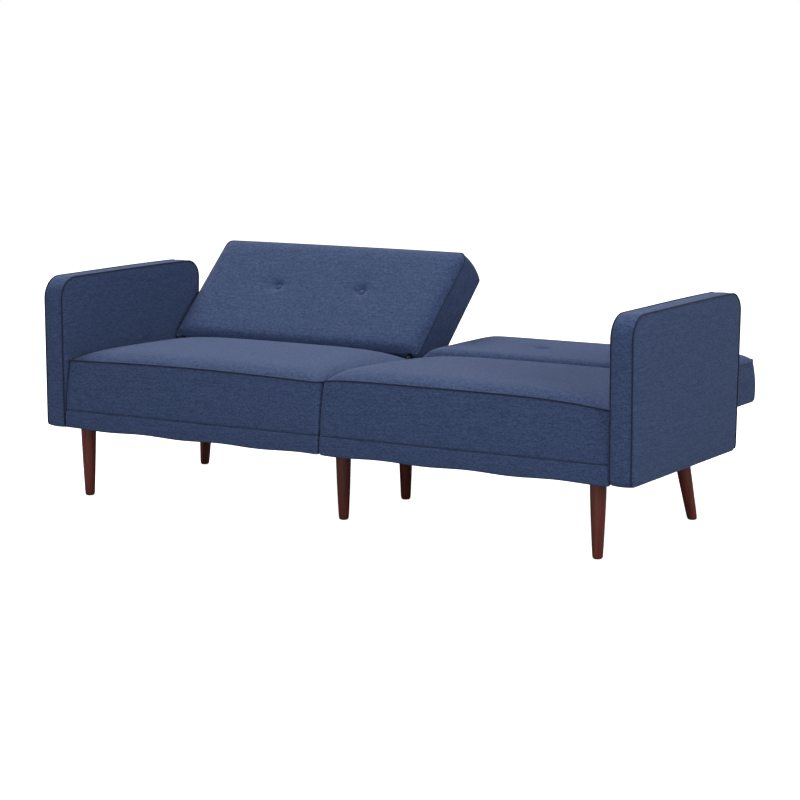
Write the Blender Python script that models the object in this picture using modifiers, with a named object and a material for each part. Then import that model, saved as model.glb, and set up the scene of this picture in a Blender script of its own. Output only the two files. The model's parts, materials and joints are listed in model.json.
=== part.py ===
"""Futon sofa bed with a split click-clack back, two slab arms and six tapered legs.

Metres, +Z up, +X towards the right arm, +Y towards the back. The floor is Z = 0, the split between
the two halves is X = 0, and Y = 0 is half way between the arms' fronts and the end of the flat back.
The left back stands at its middle notch and the right back lies flat.
"""
import math

import bmesh
import bpy
from mathutils import Matrix, Vector

OBJECT_NAME = "futon_sofa_bed"

# Overall sizes
OVERALL_WIDTH = 1.900
PIVOT_FROM_FRONT = 0.538
BACK_LENGTH = 0.410
ARM_THICKNESS = 0.066
BASE_BEHIND_PIVOT = 0.102
ARM_OVERHANG = 0.014
LEG_HEIGHT = 0.203
ARM_RISE = 0.438
BAND_HEIGHT = 0.052
BACK_RAISED_DEG = 42.8
BACK_UPRIGHT_DEG = 78.0

# Clearances
TOUCH_GAP = 0.0003
SPLIT_GAP = 0.006
ARM_TO_SEAT_GAP = 0.0015
BORE_CLEARANCE = 0.0003
WELL_CLEARANCE = 0.0015
CUTTER_REACH = 0.1

# Arms
ARM_FRONT_TOP_RADIUS = 0.062
ARM_REAR_TOP_RADIUS = 0.052
ARM_BOTTOM_RADIUS = 0.020
ARM_REAR_LEAN = 0.020
ARM_PADDING = 0.012
ARM_RIM = 0.006
ARM_HOLLOW_RADIUS = 0.004
ARM_BOARD = 0.030
ARM_WINDOW_COLUMNS = 3
ARM_WINDOW_ROWS = 2

# Base rails
RAIL_WIDTH = 0.030
RAIL_EDGE = 0.002
BAND_THICKNESS = 0.018
RAIL_UNDERCUT = 0.0028
DUST_COVER_THICKNESS = 0.001
DUST_COVER_RISE = 0.002

# Seat cushions
SEAT_SETBACK = 0.002
SEAT_FRONT_LEAN = 0.017
SEAT_EDGE_RISE = 0.203
SEAT_CROWN = ((0.055, 0.017), (0.060, 0.009), (0.080, 0.003))
SEAT_CORNER_RADIUS = 0.018
SEAT_REAR_GAP = 0.003
CUSHION_ROLL = 0.006
CREASE_CORNER_RADIUS = 0.014
ROUND_PROFILE = 0.5

# Springs
SPRING_COUNT = 4
SPRING_WIRE_RADIUS = 0.0019
SPRING_SWING = 0.024
SPRING_PITCH = 0.030
SPRING_DROP = 0.014
SPRING_HOOK = 0.004
SPRING_TIES = 2

# Backs, laid flat: distances back from the pivot and up from it
PIVOT_RISE = 0.199
BACK_START = 0.008
BACK_EDGE_RISE = 0.003
BACK_THICKNESS = 0.112
BACK_CROWN = ((0.050, 0.014), (0.050, 0.007), (0.060, 0.002))
BACK_CORNER_RADIUS = 0.045
POCKET_WALL = 0.024
POCKET_DEPTH = 0.040
FRAME_START = 0.060
FRAME_THICKNESS = 0.029
FRAME_BAR = 0.030
FRAME_COLUMNS = 4
FRAME_ROWS = 2
PANEL_THICKNESS = 0.004
PANEL_START = 0.052
BUTTON_RADIUS = 0.013
BUTTON_HEIGHT = 0.007
BUTTON_SPACING = 0.303
BUTTON_FROM_PIVOT = 0.222
BUTTON_SINK = 0.013

# Legs
LEG_TOP_RADIUS = 0.0225
LEG_FOOT_RADIUS = 0.0140
LEG_FOOT_ROUND = 0.005
LEG_STEPS = 20
FRONT_LEG_FROM_SIDE = 0.0495
FRONT_LEG_FROM_FRONT = 0.044
REAR_LEG_FROM_SIDE = 0.0455
REAR_LEG_FROM_REAR = 0.018
REAR_LEG_SPLAY_OUT = 0.145
REAR_LEG_SPLAY_BACK = 0.122
MIDDLE_LEG_FROM_FRONT = 0.128
MIDDLE_LEG_FROM_REAR = 0.178
LEG_PLATE_SIZE = (0.070, 0.050)
CENTRE_PLATE_LENGTH = 0.100
LEG_PLATE_THICKNESS = 0.0025

# Hinges: distances in from a half's edge, and outlines around the pivot
PLATE_THICKNESS = 0.003
FLANGE_EDGE = 0.003
WEB_INSET = 0.028
LAYER_GAP = 0.0005
EYE_RADIUS = 0.008
PIN_RADIUS = 0.004
PIN_HEAD_RADIUS = 0.0065
PIN_HEAD_THICKNESS = 0.0014
SECTOR_RADIUS = 0.018
NOTCH_DEPTH = 0.003
NOTCH_HALF_DEG = 7.0
NOTCH_FLOOR_HALF_DEG = 5.0
PAWL_SIDE_DEG = 235.0
PAWL_NOSE_RADIUS = 0.0025
PAWL_NOSE_CLEARANCE = 0.0008
PAWL_LENGTH = 0.030
PAWL_EYE_RADIUS = 0.006
STUD_RADIUS = 0.003
FLANGE_FROM_PIVOT = (-0.090, -0.010)
WEB_FROM_PIVOT = (-0.086, -0.014)
BACK_ARM_ELBOW = (0.032, -0.030)
BACK_ARM_PAD = (0.062, 0.150)
SLOT_MARGIN = 0.003

ARM_INNER_X = OVERALL_WIDTH / 2 - ARM_THICKNESS
HALF_INNER_X = SPLIT_GAP / 2
HALF_OUTER_X = ARM_INNER_X - ARM_TO_SEAT_GAP
FRONT_Y = -(PIVOT_FROM_FRONT + BACK_LENGTH) / 2
PIVOT_Y = FRONT_Y + PIVOT_FROM_FRONT
BAND_TOP = LEG_HEIGHT + BAND_HEIGHT
ARM_HEIGHT = LEG_HEIGHT + ARM_RISE
SEAT_EDGE_HEIGHT = LEG_HEIGHT + SEAT_EDGE_RISE
PIVOT_HEIGHT = LEG_HEIGHT + PIVOT_RISE
RAIL_BOTTOM = LEG_HEIGHT + RAIL_UNDERCUT
SEAT_REAR_Y = PIVOT_Y - SEAT_REAR_GAP
ARM_DEPTH = PIVOT_FROM_FRONT + BASE_BEHIND_PIVOT + ARM_OVERHANG
BACK_LAYER_INSET = WEB_INSET + PLATE_THICKNESS + LAYER_GAP
FRAME_INSET = BACK_LAYER_INSET + PLATE_THICKNESS + TOUCH_GAP
SIDES = {"left": -1, "right": 1}
ENDS = ("inner", "outer")


# ---------------------------------------------------------------- helpers

def clear_scene():
    """Remove every object, so that the model starts from nothing."""
    for item in list(bpy.data.objects):
        bpy.data.objects.remove(item, do_unlink=True)


def make_collection(name):
    """Return a new collection under the scene."""
    collection = bpy.data.collections.new(name)
    bpy.context.scene.collection.children.link(collection)
    return collection


def make_material(name, colour, roughness, metallic=0.0):
    """Return a Principled material."""
    material = bpy.data.materials.new(name)
    material.use_nodes = True
    shader = material.node_tree.nodes["Principled BSDF"]
    shader.inputs["Base Color"].default_value = (*colour, 1.0)
    shader.inputs["Roughness"].default_value = roughness
    shader.inputs["Metallic"].default_value = metallic
    return material


def place(item, name, collection, material=None):
    """Name an object, give it its material and move it to its collection."""
    item.name = name
    item.data.name = name
    for old in list(item.users_collection):
        old.objects.unlink(item)
    collection.objects.link(item)
    if material:
        item.data.materials.clear()
        item.data.materials.append(material)
    else:
        item.hide_render = True
        item.display_type = "WIRE"
    return item


def object_from_bmesh(mesh_data, name, collection, material=None):
    """Write a bmesh to a new object."""
    mesh = bpy.data.meshes.new(name)
    bmesh.ops.recalc_face_normals(mesh_data, faces=mesh_data.faces)
    mesh_data.to_mesh(mesh)
    mesh_data.free()
    item = bpy.data.objects.new(name, mesh)
    bpy.context.scene.collection.objects.link(item)
    return place(item, name, collection, material)


def add_bevel(item, width, segments=1, angle=50.0):
    """Round the edges that are sharper than the angle."""
    bevel = item.modifiers.new("rounded_edges", "BEVEL")
    bevel.width = width
    bevel.segments = segments
    bevel.limit_method = "ANGLE"
    bevel.angle_limit = math.radians(angle)


def combine(item, others, operation):
    """Cut other objects from one, or join them to it."""
    for other in others:
        boolean = item.modifiers.new(other.name, "BOOLEAN")
        boolean.operation = operation
        boolean.solver = "EXACT"
        boolean.object = other


def add_box(name, low, high, collection, material=None, edge=0.0):
    """A box between two corners."""
    size = [b - a for a, b in zip(low, high)]
    centre = [(a + b) / 2 for a, b in zip(low, high)]
    bpy.ops.mesh.primitive_cube_add(size=1, location=centre)
    box = bpy.context.object
    box.data.transform(Matrix.Diagonal((*size, 1.0)))
    if edge:
        add_bevel(box, edge)
    return place(box, name, collection, material)


def add_turned(name, profile, steps, location, collection, material=None, along_x=False):
    """Turn a profile of radius and height pairs, listed from the top to the bottom."""
    mesh_data = bmesh.new()
    points = [mesh_data.verts.new((radius, 0, height)) for radius, height in profile]
    for first, second in zip(points, points[1:]):
        mesh_data.edges.new((first, second))
    mesh = bpy.data.meshes.new(name)
    mesh_data.to_mesh(mesh)
    mesh_data.free()
    item = bpy.data.objects.new(name, mesh)
    bpy.context.scene.collection.objects.link(item)
    screw = item.modifiers.new("turning", "SCREW")
    screw.steps = steps
    screw.render_steps = steps
    screw.use_merge_vertices = True
    screw.merge_threshold = 0.00005
    item.location = location
    if along_x:
        item.rotation_euler = (0, math.radians(90), 0)
    return place(item, name, collection, material)


def circle_points(centre, radius, steps=20):
    """Points round a circle, or the centre alone where the radius is zero."""
    if not radius:
        return [tuple(centre)]
    return [(centre[0] + radius * math.cos(turn), centre[1] + radius * math.sin(turn))
            for turn in (2 * math.pi * step / steps for step in range(steps))]


def add_link(name, discs, x_range, collection, material=None):
    """A flat link in the YZ plane, stretched round discs of centre and radius."""
    mesh_data = bmesh.new()
    for centre, radius in discs:
        for y, z in circle_points(centre, radius):
            for x in x_range:
                mesh_data.verts.new((x, y, z))
    hull = bmesh.ops.convex_hull(mesh_data, input=mesh_data.verts)
    spare = {item for item in hull["geom_interior"] + hull["geom_unused"]
             if isinstance(item, bmesh.types.BMVert)}
    bmesh.ops.delete(mesh_data, geom=list(spare), context="VERTS")
    return object_from_bmesh(mesh_data, name, collection, material)


def add_plate(name, loops, x_range, collection, material=None):
    """A flat plate in the YZ plane from an outline and the loops of its holes."""
    curve = bpy.data.curves.new(name, "CURVE")
    curve.dimensions = "2D"
    curve.fill_mode = "BOTH"
    curve.extrude = abs(x_range[1] - x_range[0]) / 2
    for loop in loops:
        spline = curve.splines.new("POLY")
        spline.points.add(len(loop) - 1)
        for point, (y, z) in zip(spline.points, loop):
            point.co = (y, z, 0, 1)
        spline.use_cyclic_u = True
    guide = bpy.data.objects.new(name, curve)
    bpy.context.scene.collection.objects.link(guide)
    to_side = Matrix(((0, 0, 1), (1, 0, 0), (0, 1, 0))).to_4x4()
    guide.matrix_world = Matrix.Translation((sum(x_range) / 2, 0, 0)) @ to_side
    return solid_from_curve(guide, name, collection, material)


def solid_from_curve(guide, name, collection, material=None):
    """Turn a curve object into a closed mesh object in the same place."""
    bpy.context.view_layer.update()
    evaluated = guide.evaluated_get(bpy.context.evaluated_depsgraph_get())
    mesh = bpy.data.meshes.new_from_object(evaluated)
    mesh_data = bmesh.new()
    mesh_data.from_mesh(mesh)
    bmesh.ops.remove_doubles(mesh_data, verts=mesh_data.verts, dist=0.00001)
    bmesh.ops.recalc_face_normals(mesh_data, faces=mesh_data.faces)
    mesh_data.to_mesh(mesh)
    mesh_data.free()
    item = bpy.data.objects.new(name, mesh)
    bpy.context.scene.collection.objects.link(item)
    item.matrix_world = guide.matrix_world
    bpy.data.objects.remove(guide, do_unlink=True)
    return place(item, name, collection, material)


def add_wire(name, points, radius, collection, material=None):
    """A round wire through points."""
    curve = bpy.data.curves.new(name, "CURVE")
    curve.dimensions = "3D"
    curve.bevel_depth = radius
    curve.bevel_resolution = 1
    curve.use_fill_caps = True
    spline = curve.splines.new("POLY")
    spline.points.add(len(points) - 1)
    for point, place_at in zip(spline.points, points):
        point.co = (*place_at, 1)
    guide = bpy.data.objects.new(name, curve)
    bpy.context.scene.collection.objects.link(guide)
    return solid_from_curve(guide, name, collection, material)


def arc(centre, radius, start_deg, end_deg, steps=6):
    """Points along an arc."""
    turns = (start_deg + (end_deg - start_deg) * step / steps for step in range(steps + 1))
    return [(centre[0] + radius * math.cos(math.radians(turn)),
             centre[1] + radius * math.sin(math.radians(turn))) for turn in turns]


def add_cushion(name, low, high, radii, rings, collection, material):
    """A padded block with rounded front and rear corners and a crowned top.

    Each ring of the crown is a distance in from the ring outside it, and a rise.
    """
    size = Vector(b - a for a, b in zip(low, high))
    centre = Vector((a + b) / 2 for a, b in zip(low, high))
    mesh_data = bmesh.new()
    shape = Matrix.Translation(centre) @ Matrix.Diagonal((*size, 1.0))
    bmesh.ops.create_cube(mesh_data, size=1, matrix=shape)
    for sign, radius in zip((-1, 1), radii):
        upright = [edge for edge in mesh_data.edges
                   if abs(edge.verts[0].co.z - edge.verts[1].co.z) > size.z / 2
                   and all((vert.co.y - centre.y) * sign > size.y / 4 for vert in edge.verts)]
        bmesh.ops.bevel(mesh_data, geom=upright, offset=radius, segments=3,
                        profile=ROUND_PROFILE, affect="EDGES")
    top = max(mesh_data.faces, key=lambda face: face.calc_center_median().z)
    half = [size.x / 2, size.y / 2]
    for inset, rise in rings:
        raised = bmesh.ops.extrude_face_region(mesh_data, geom=[top])
        verts = [item for item in raised["geom"] if isinstance(item, bmesh.types.BMVert)]
        shrink = [(side - inset) / side for side in half]
        for vert in verts:
            vert.co.x = centre.x + (vert.co.x - centre.x) * shrink[0]
            vert.co.y = centre.y + (vert.co.y - centre.y) * shrink[1]
            vert.co.z += rise
        half = [side - inset for side in half]
        bmesh.ops.delete(mesh_data, geom=[top], context="FACES_ONLY")
        top = next(item for item in raised["geom"] if isinstance(item, bmesh.types.BMFace))
    cushion = object_from_bmesh(mesh_data, name, collection, material)
    add_bevel(cushion, CUSHION_ROLL, segments=2)
    return cushion


def smooth(item):
    """Shade a round piece smooth with sharp edges kept."""
    item.data.shade_smooth()
    item.data.set_sharp_from_angle(angle=math.radians(40))


def span(side, start, end):
    """The X range between two distances from the middle, on one side of it."""
    return tuple(sorted((SIDES[side] * start, SIDES[side] * end)))


def layer(side, end, start, end_inset):
    """The X range between two distances in from a half's inner or outer edge."""
    if end == "inner":
        return span(side, HALF_INNER_X + start, HALF_INNER_X + end_inset)
    return span(side, HALF_OUTER_X - start, HALF_OUTER_X - end_inset)


def around_pivot(offset):
    """The Y and Z of a point given from the pivot axis."""
    return (PIVOT_Y + offset[0], PIVOT_HEIGHT + offset[1])


# ---------------------------------------------------------------- arms

def arm_outline(inset):
    """The arm's side outline, moved in all round by an inset."""
    front = FRONT_Y + inset
    bottom = LEG_HEIGHT + inset
    top = ARM_HEIGHT - inset
    rear = FRONT_Y + ARM_DEPTH - inset
    lean_rear = rear + ARM_REAR_LEAN
    low = max(ARM_BOTTOM_RADIUS - inset, ARM_HOLLOW_RADIUS)
    front_top = ARM_FRONT_TOP_RADIUS - inset
    rear_top = ARM_REAR_TOP_RADIUS - inset
    return (arc((front + low, bottom + low), low, 270, 180, 3)
            + arc((front + front_top, top - front_top), front_top, 180, 90)
            + arc((lean_rear - rear_top, top - rear_top), rear_top, 90, 0)
            + arc((rear - low, bottom + low), low, 0, -90, 3))


def build_arm(side, collection, cutters, fabric, timber):
    """A timber arm frame and the padded cover that is pulled down over it."""
    outer = span(side, ARM_INNER_X, OVERALL_WIDTH / 2)
    inner = (outer[0] + ARM_PADDING, outer[1] - ARM_PADDING)
    cover = add_plate(f"arm_cover_{side}", [arm_outline(0)], outer, collection, fabric)
    add_bevel(cover, ARM_RIM, segments=2)
    hollow = add_plate(f"arm_hollow_{side}", [arm_outline(ARM_PADDING)], inner, cutters)
    mouth_low = (inner[0], FRONT_Y + ARM_PADDING, LEG_HEIGHT - ARM_PADDING)
    mouth_high = (inner[1], FRONT_Y + ARM_DEPTH - ARM_PADDING, LEG_HEIGHT + 2 * ARM_PADDING)
    mouth = add_box(f"arm_mouth_{side}", mouth_low, mouth_high, cutters)
    combine(hollow, [mouth], "UNION")
    combine(cover, [hollow], "DIFFERENCE")

    edge = ARM_PADDING + TOUCH_GAP
    width = ARM_DEPTH - 2 * edge
    height = ARM_HEIGHT - LEG_HEIGHT - 2 * edge
    column = (width - ARM_BOARD) / ARM_WINDOW_COLUMNS
    row = (height - ARM_BOARD) / ARM_WINDOW_ROWS
    windows = []
    for column_index in range(ARM_WINDOW_COLUMNS):
        for row_index in range(ARM_WINDOW_ROWS):
            left = FRONT_Y + edge + ARM_BOARD + column_index * column
            low = LEG_HEIGHT + edge + ARM_BOARD + row_index * row
            right = left + column - ARM_BOARD
            high = low + row - ARM_BOARD
            windows.append([(left, low), (right, low), (right, high), (left, high)])
    boards = (inner[0] + TOUCH_GAP, inner[1] - TOUCH_GAP)
    add_plate(f"arm_frame_{side}", [arm_outline(edge)] + windows, boards, collection, timber)


# ---------------------------------------------------------------- base

def build_base(side, collection, fabric, timber, cloth):
    """The rails of one half, its front band and its dust cover."""
    inner, outer = HALF_INNER_X, HALF_OUTER_X
    front = FRONT_Y + BAND_THICKNESS + TOUCH_GAP
    rear = PIVOT_Y + BASE_BEHIND_PIVOT
    cross = SEAT_REAR_Y - RAIL_WIDTH
    between = (inner + RAIL_WIDTH + TOUCH_GAP, outer - RAIL_WIDTH - TOUCH_GAP)
    rails = {
        "inner_rail": (span(side, inner, inner + RAIL_WIDTH), (front, rear)),
        "outer_rail": (span(side, outer - RAIL_WIDTH, outer), (front, rear)),
        "front_rail": (span(side, *between), (front, front + RAIL_WIDTH)),
        "cross_rail": (span(side, *between), (cross, cross + RAIL_WIDTH)),
        "rear_rail": (span(side, *between), (rear - RAIL_WIDTH, rear)),
    }
    for name, (x_range, y_range) in rails.items():
        low = (x_range[0], y_range[0], RAIL_BOTTOM)
        high = (x_range[1], y_range[1], BAND_TOP)
        add_box(f"{name}_{side}", low, high, collection, timber, RAIL_EDGE)

    band = span(side, inner, outer)
    add_box(f"front_band_{side}", (band[0], FRONT_Y, LEG_HEIGHT),
            (band[1], FRONT_Y + BAND_THICKNESS, BAND_TOP), collection, fabric, 2 * RAIL_EDGE)

    sheet = span(side, between[0], between[1])
    bottom = RAIL_BOTTOM + DUST_COVER_RISE
    add_box(f"dust_cover_{side}", (sheet[0], front + RAIL_WIDTH + TOUCH_GAP, bottom),
            (sheet[1], cross - TOUCH_GAP, bottom + DUST_COVER_THICKNESS), collection, cloth)


def build_springs(side, collection, cutters, steel):
    """Zigzag springs from the front rail to the cross rail, tied across."""
    front = FRONT_Y + BAND_THICKNESS + RAIL_WIDTH + 3 * TOUCH_GAP
    rear = SEAT_REAR_Y - RAIL_WIDTH - 2 * TOUCH_GAP
    height = BAND_TOP - SPRING_DROP
    width = HALF_OUTER_X - HALF_INNER_X - 2 * RAIL_WIDTH
    middle = SIDES[side] * (HALF_OUTER_X + HALF_INNER_X) / 2
    waves = int((rear - front) / SPRING_PITCH)
    pitch = (rear - front) / waves
    wires = []
    for index in range(SPRING_COUNT):
        centre = middle + width * ((index + 0.5) / SPRING_COUNT - 0.5)
        points = [(centre, front, height), (centre, front + SPRING_HOOK, height)]
        for wave in range(waves):
            swing = SPRING_SWING * (1 if wave % 2 else -1)
            for share in (0.25, 0.75):
                points.append((centre + swing, front + (wave + share) * pitch, height))
        points += [(centre, rear - SPRING_HOOK, height), (centre, rear, height)]
        wires.append(points)
    springs = add_wire(f"seat_springs_{side}", wires[0], SPRING_WIRE_RADIUS, collection, steel)
    others = [add_wire(f"spring_{side}_{index}", points, SPRING_WIRE_RADIUS, cutters)
              for index, points in enumerate(wires[1:], start=2)]
    reach = width / 2 - SPRING_DROP
    for index in range(SPRING_TIES):
        y = front + (rear - front) * (index + 1) / (SPRING_TIES + 1)
        ends = [(middle - reach, y, height), (middle + reach, y, height)]
        others.append(add_wire(f"tie_{side}_{index}", ends, SPRING_WIRE_RADIUS, cutters))
    combine(springs, others, "UNION")


# ---------------------------------------------------------------- legs

def build_leg(name, x, from_front, splay, plate, collection, wood, steel):
    """A turned leg with a flat foot, leaned by a shear, and the plate that holds it."""
    shoulder = LEG_FOOT_RADIUS + (LEG_TOP_RADIUS - LEG_FOOT_RADIUS) * LEG_FOOT_ROUND / LEG_HEIGHT
    profile = [(0, LEG_HEIGHT), (LEG_TOP_RADIUS, LEG_HEIGHT), (shoulder, LEG_FOOT_ROUND)]
    profile += [(LEG_FOOT_RADIUS - LEG_FOOT_ROUND * (1 - math.cos(math.radians(turn))),
                 LEG_FOOT_ROUND * (1 - math.sin(math.radians(turn)))) for turn in (30, 60, 90)]
    profile.append((0, 0))
    leg = add_turned(f"leg_{name}", profile, LEG_STEPS, (x, FRONT_Y + from_front, 0),
                     collection, wood)
    lean = Matrix.Identity(4)
    lean[0][2] = -splay[0]
    lean[1][2] = -splay[1]
    apply_shape(leg, lean)
    smooth(leg)
    top_x = x - splay[0] * LEG_HEIGHT
    top_y = FRONT_Y + from_front - splay[1] * LEG_HEIGHT
    bottom = LEG_HEIGHT + TOUCH_GAP
    add_box(f"leg_plate_{name}", (top_x - plate[0] / 2, top_y - plate[1] / 2, bottom),
            (top_x + plate[0] / 2, top_y + plate[1] / 2, bottom + LEG_PLATE_THICKNESS - TOUCH_GAP),
            collection, steel)


def apply_shape(item, matrix):
    """Apply an object's modifiers and then a matrix to its mesh."""
    bpy.context.view_layer.update()
    evaluated = item.evaluated_get(bpy.context.evaluated_depsgraph_get())
    mesh = bpy.data.meshes.new_from_object(evaluated)
    mesh.transform(matrix)
    item.modifiers.clear()
    item.data = mesh
    mesh.name = item.name


def build_legs(collection, wood, steel):
    """Four corner legs, the rear ones splayed, and two on the centre line."""
    front_x = HALF_OUTER_X - FRONT_LEG_FROM_SIDE
    rear_x = HALF_OUTER_X - REAR_LEG_FROM_SIDE
    base_depth = PIVOT_FROM_FRONT + BASE_BEHIND_PIVOT
    for side, sign in SIDES.items():
        build_leg(f"front_{side}", sign * front_x, FRONT_LEG_FROM_FRONT, (0, 0), LEG_PLATE_SIZE,
                  collection, wood, steel)
        build_leg(f"rear_{side}", sign * rear_x, base_depth - REAR_LEG_FROM_REAR,
                  (sign * REAR_LEG_SPLAY_OUT, REAR_LEG_SPLAY_BACK), LEG_PLATE_SIZE,
                  collection, wood, steel)
    centre = (2 * (HALF_INNER_X + RAIL_WIDTH), CENTRE_PLATE_LENGTH)
    build_leg("middle_front", 0, MIDDLE_LEG_FROM_FRONT, (0, 0), centre, collection, wood, steel)
    build_leg("middle_rear", 0, base_depth - MIDDLE_LEG_FROM_REAR, (0, 0), centre, collection, wood,
              steel)


# ---------------------------------------------------------------- hinges

def stud_offset():
    """Where the pawl turns, from the pivot: along the tangent from its nose."""
    turn = math.radians(PAWL_SIDE_DEG)
    reach = SECTOR_RADIUS + PAWL_NOSE_CLEARANCE + PAWL_NOSE_RADIUS
    nose = (reach * math.cos(turn), reach * math.sin(turn))
    stud = (nose[0] - PAWL_LENGTH * math.sin(turn), nose[1] + PAWL_LENGTH * math.cos(turn))
    return nose, stud


def side_of(start, end, turn):
    """The direction square to the line from one point to another, in degrees."""
    return math.degrees(math.atan2(end[1] - start[1], end[0] - start[0])) + turn


def back_plate_outline(frame_top):
    """The back plate with the back laid flat: notched sector, bent arm and pad on the frame."""
    notches = [PAWL_SIDE_DEG - turn for turn in (0, BACK_RAISED_DEG, BACK_UPRIGHT_DEG)]
    start = notches[-1] - NOTCH_HALF_DEG
    end = notches[0] + NOTCH_HALF_DEG
    points = []
    steps = 24
    for step in range(steps + 1):
        turn = start + (end - start) * step / steps
        near = min(abs(turn - notch) for notch in notches)
        depth = NOTCH_DEPTH * max(0.0, 1 - near / NOTCH_FLOOR_HALF_DEG)
        points += arc((0, 0), SECTOR_RADIUS - depth, turn, turn, 1)[:1]
    below = side_of((0, 0), BACK_ARM_ELBOW, -90)
    points += arc(BACK_ARM_ELBOW, EYE_RADIUS, below, below, 1)[:1]
    frame_bottom = frame_top - FRAME_THICKNESS
    points += [(BACK_ARM_PAD[0], frame_bottom), (BACK_ARM_PAD[1], frame_bottom),
               (BACK_ARM_PAD[1], frame_top)]
    points += arc(BACK_ARM_ELBOW, EYE_RADIUS, below + 180, below + 180, 1)[:1]
    points += arc((0, 0), EYE_RADIUS, below + 180, start, 8)
    return [around_pivot(point) for point in points]


def seat_plate_outline(stud, foot):
    """The seat plate's upright web, from its foot up to the eye, with an ear for the pawl's stud."""
    near, far = [(reach, foot - PIVOT_HEIGHT) for reach in WEB_FROM_PIVOT]
    points = [near, far]
    points += arc(stud, EYE_RADIUS, side_of(far, stud, -90), side_of(stud, (0, 0), -90), 4)
    points += arc((0, 0), EYE_RADIUS, side_of(stud, (0, 0), -90), side_of(near, (0, 0), 90), 10)
    return [around_pivot(point) for point in points]


def build_hinge(side, end, collection, cutters, steel):
    """One hinge: seat plate, back plate, pin and pawl. Returns what turns with the back."""
    tag = f"{side}_{end}"
    pivot = (0, 0)
    nose, stud = stud_offset()
    web = layer(side, end, WEB_INSET, WEB_INSET + PLATE_THICKNESS)
    back_layer = layer(side, end, BACK_LAYER_INSET, BACK_LAYER_INSET + PLATE_THICKNESS)
    foot = BAND_TOP + TOUCH_GAP
    flange_y = [PIVOT_Y + reach for reach in FLANGE_FROM_PIVOT]

    outline = seat_plate_outline(stud, foot + PLATE_THICKNESS / 2)
    plate = add_plate(f"hinge_seat_plate_{tag}", [outline], web, collection, steel)
    flange_x = layer(side, end, FLANGE_EDGE, WEB_INSET + PLATE_THICKNESS / 2)
    flange = add_box(f"hinge_flange_{tag}", (flange_x[0], flange_y[0], foot),
                     (flange_x[1], flange_y[1], foot + PLATE_THICKNESS), cutters)
    stud_x = layer(side, end, WEB_INSET + PLATE_THICKNESS / 2,
                   BACK_LAYER_INSET + PLATE_THICKNESS + LAYER_GAP)
    stud_post = add_link(f"hinge_stud_{tag}", [(around_pivot(stud), STUD_RADIUS)], stud_x, cutters)
    through = layer(side, end, 0, 2 * WEB_INSET)
    bore = add_link(f"hinge_bore_{tag}", [(around_pivot(pivot), PIN_RADIUS + BORE_CLEARANCE)],
                    through, cutters)
    combine(plate, [flange, stud_post], "UNION")
    combine(plate, [bore], "DIFFERENCE")

    pin_x = layer(side, end, WEB_INSET - TOUCH_GAP, BACK_LAYER_INSET + PLATE_THICKNESS + TOUCH_GAP)
    half = (pin_x[1] - pin_x[0]) / 2
    head = half + PIN_HEAD_THICKNESS
    profile = [(0, head), (PIN_HEAD_RADIUS, head), (PIN_HEAD_RADIUS, half), (PIN_RADIUS, half),
               (PIN_RADIUS, -half), (PIN_HEAD_RADIUS, -half), (PIN_HEAD_RADIUS, -head), (0, -head)]
    pin = add_turned(f"hinge_pin_{tag}", profile, 16, (sum(pin_x) / 2, PIVOT_Y, PIVOT_HEIGHT),
                     collection, steel, along_x=True)
    smooth(pin)

    pawl_bore = add_link(f"pawl_bore_{tag}", [(around_pivot(stud), STUD_RADIUS + BORE_CLEARANCE)],
                         through, cutters)
    pawl = add_link(f"hinge_pawl_{tag}", [(around_pivot(stud), PAWL_EYE_RADIUS),
                                          (around_pivot(nose), PAWL_NOSE_RADIUS)], back_layer,
                    collection, steel)
    combine(pawl, [pawl_bore], "DIFFERENCE")
    move_origin(pawl, (0, *around_pivot(stud)))

    frame_top = BACK_EDGE_RISE - BACK_THICKNESS + POCKET_DEPTH - TOUCH_GAP
    back_plate = add_plate(f"hinge_back_plate_{tag}", [back_plate_outline(frame_top)], back_layer,
                           collection, steel)
    back_bore = add_link(f"back_bore_{tag}", [(around_pivot(pivot), PIN_RADIUS + BORE_CLEARANCE)],
                         through, cutters)
    combine(back_plate, [back_bore], "DIFFERENCE")
    return [back_plate, back_bore]


def move_origin(item, point):
    """Put an object's origin at a point and leave its shape where it is."""
    offset = Vector(point) - item.location
    item.data.transform(Matrix.Translation(-offset))
    item.location = point


# ---------------------------------------------------------------- cushions

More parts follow.
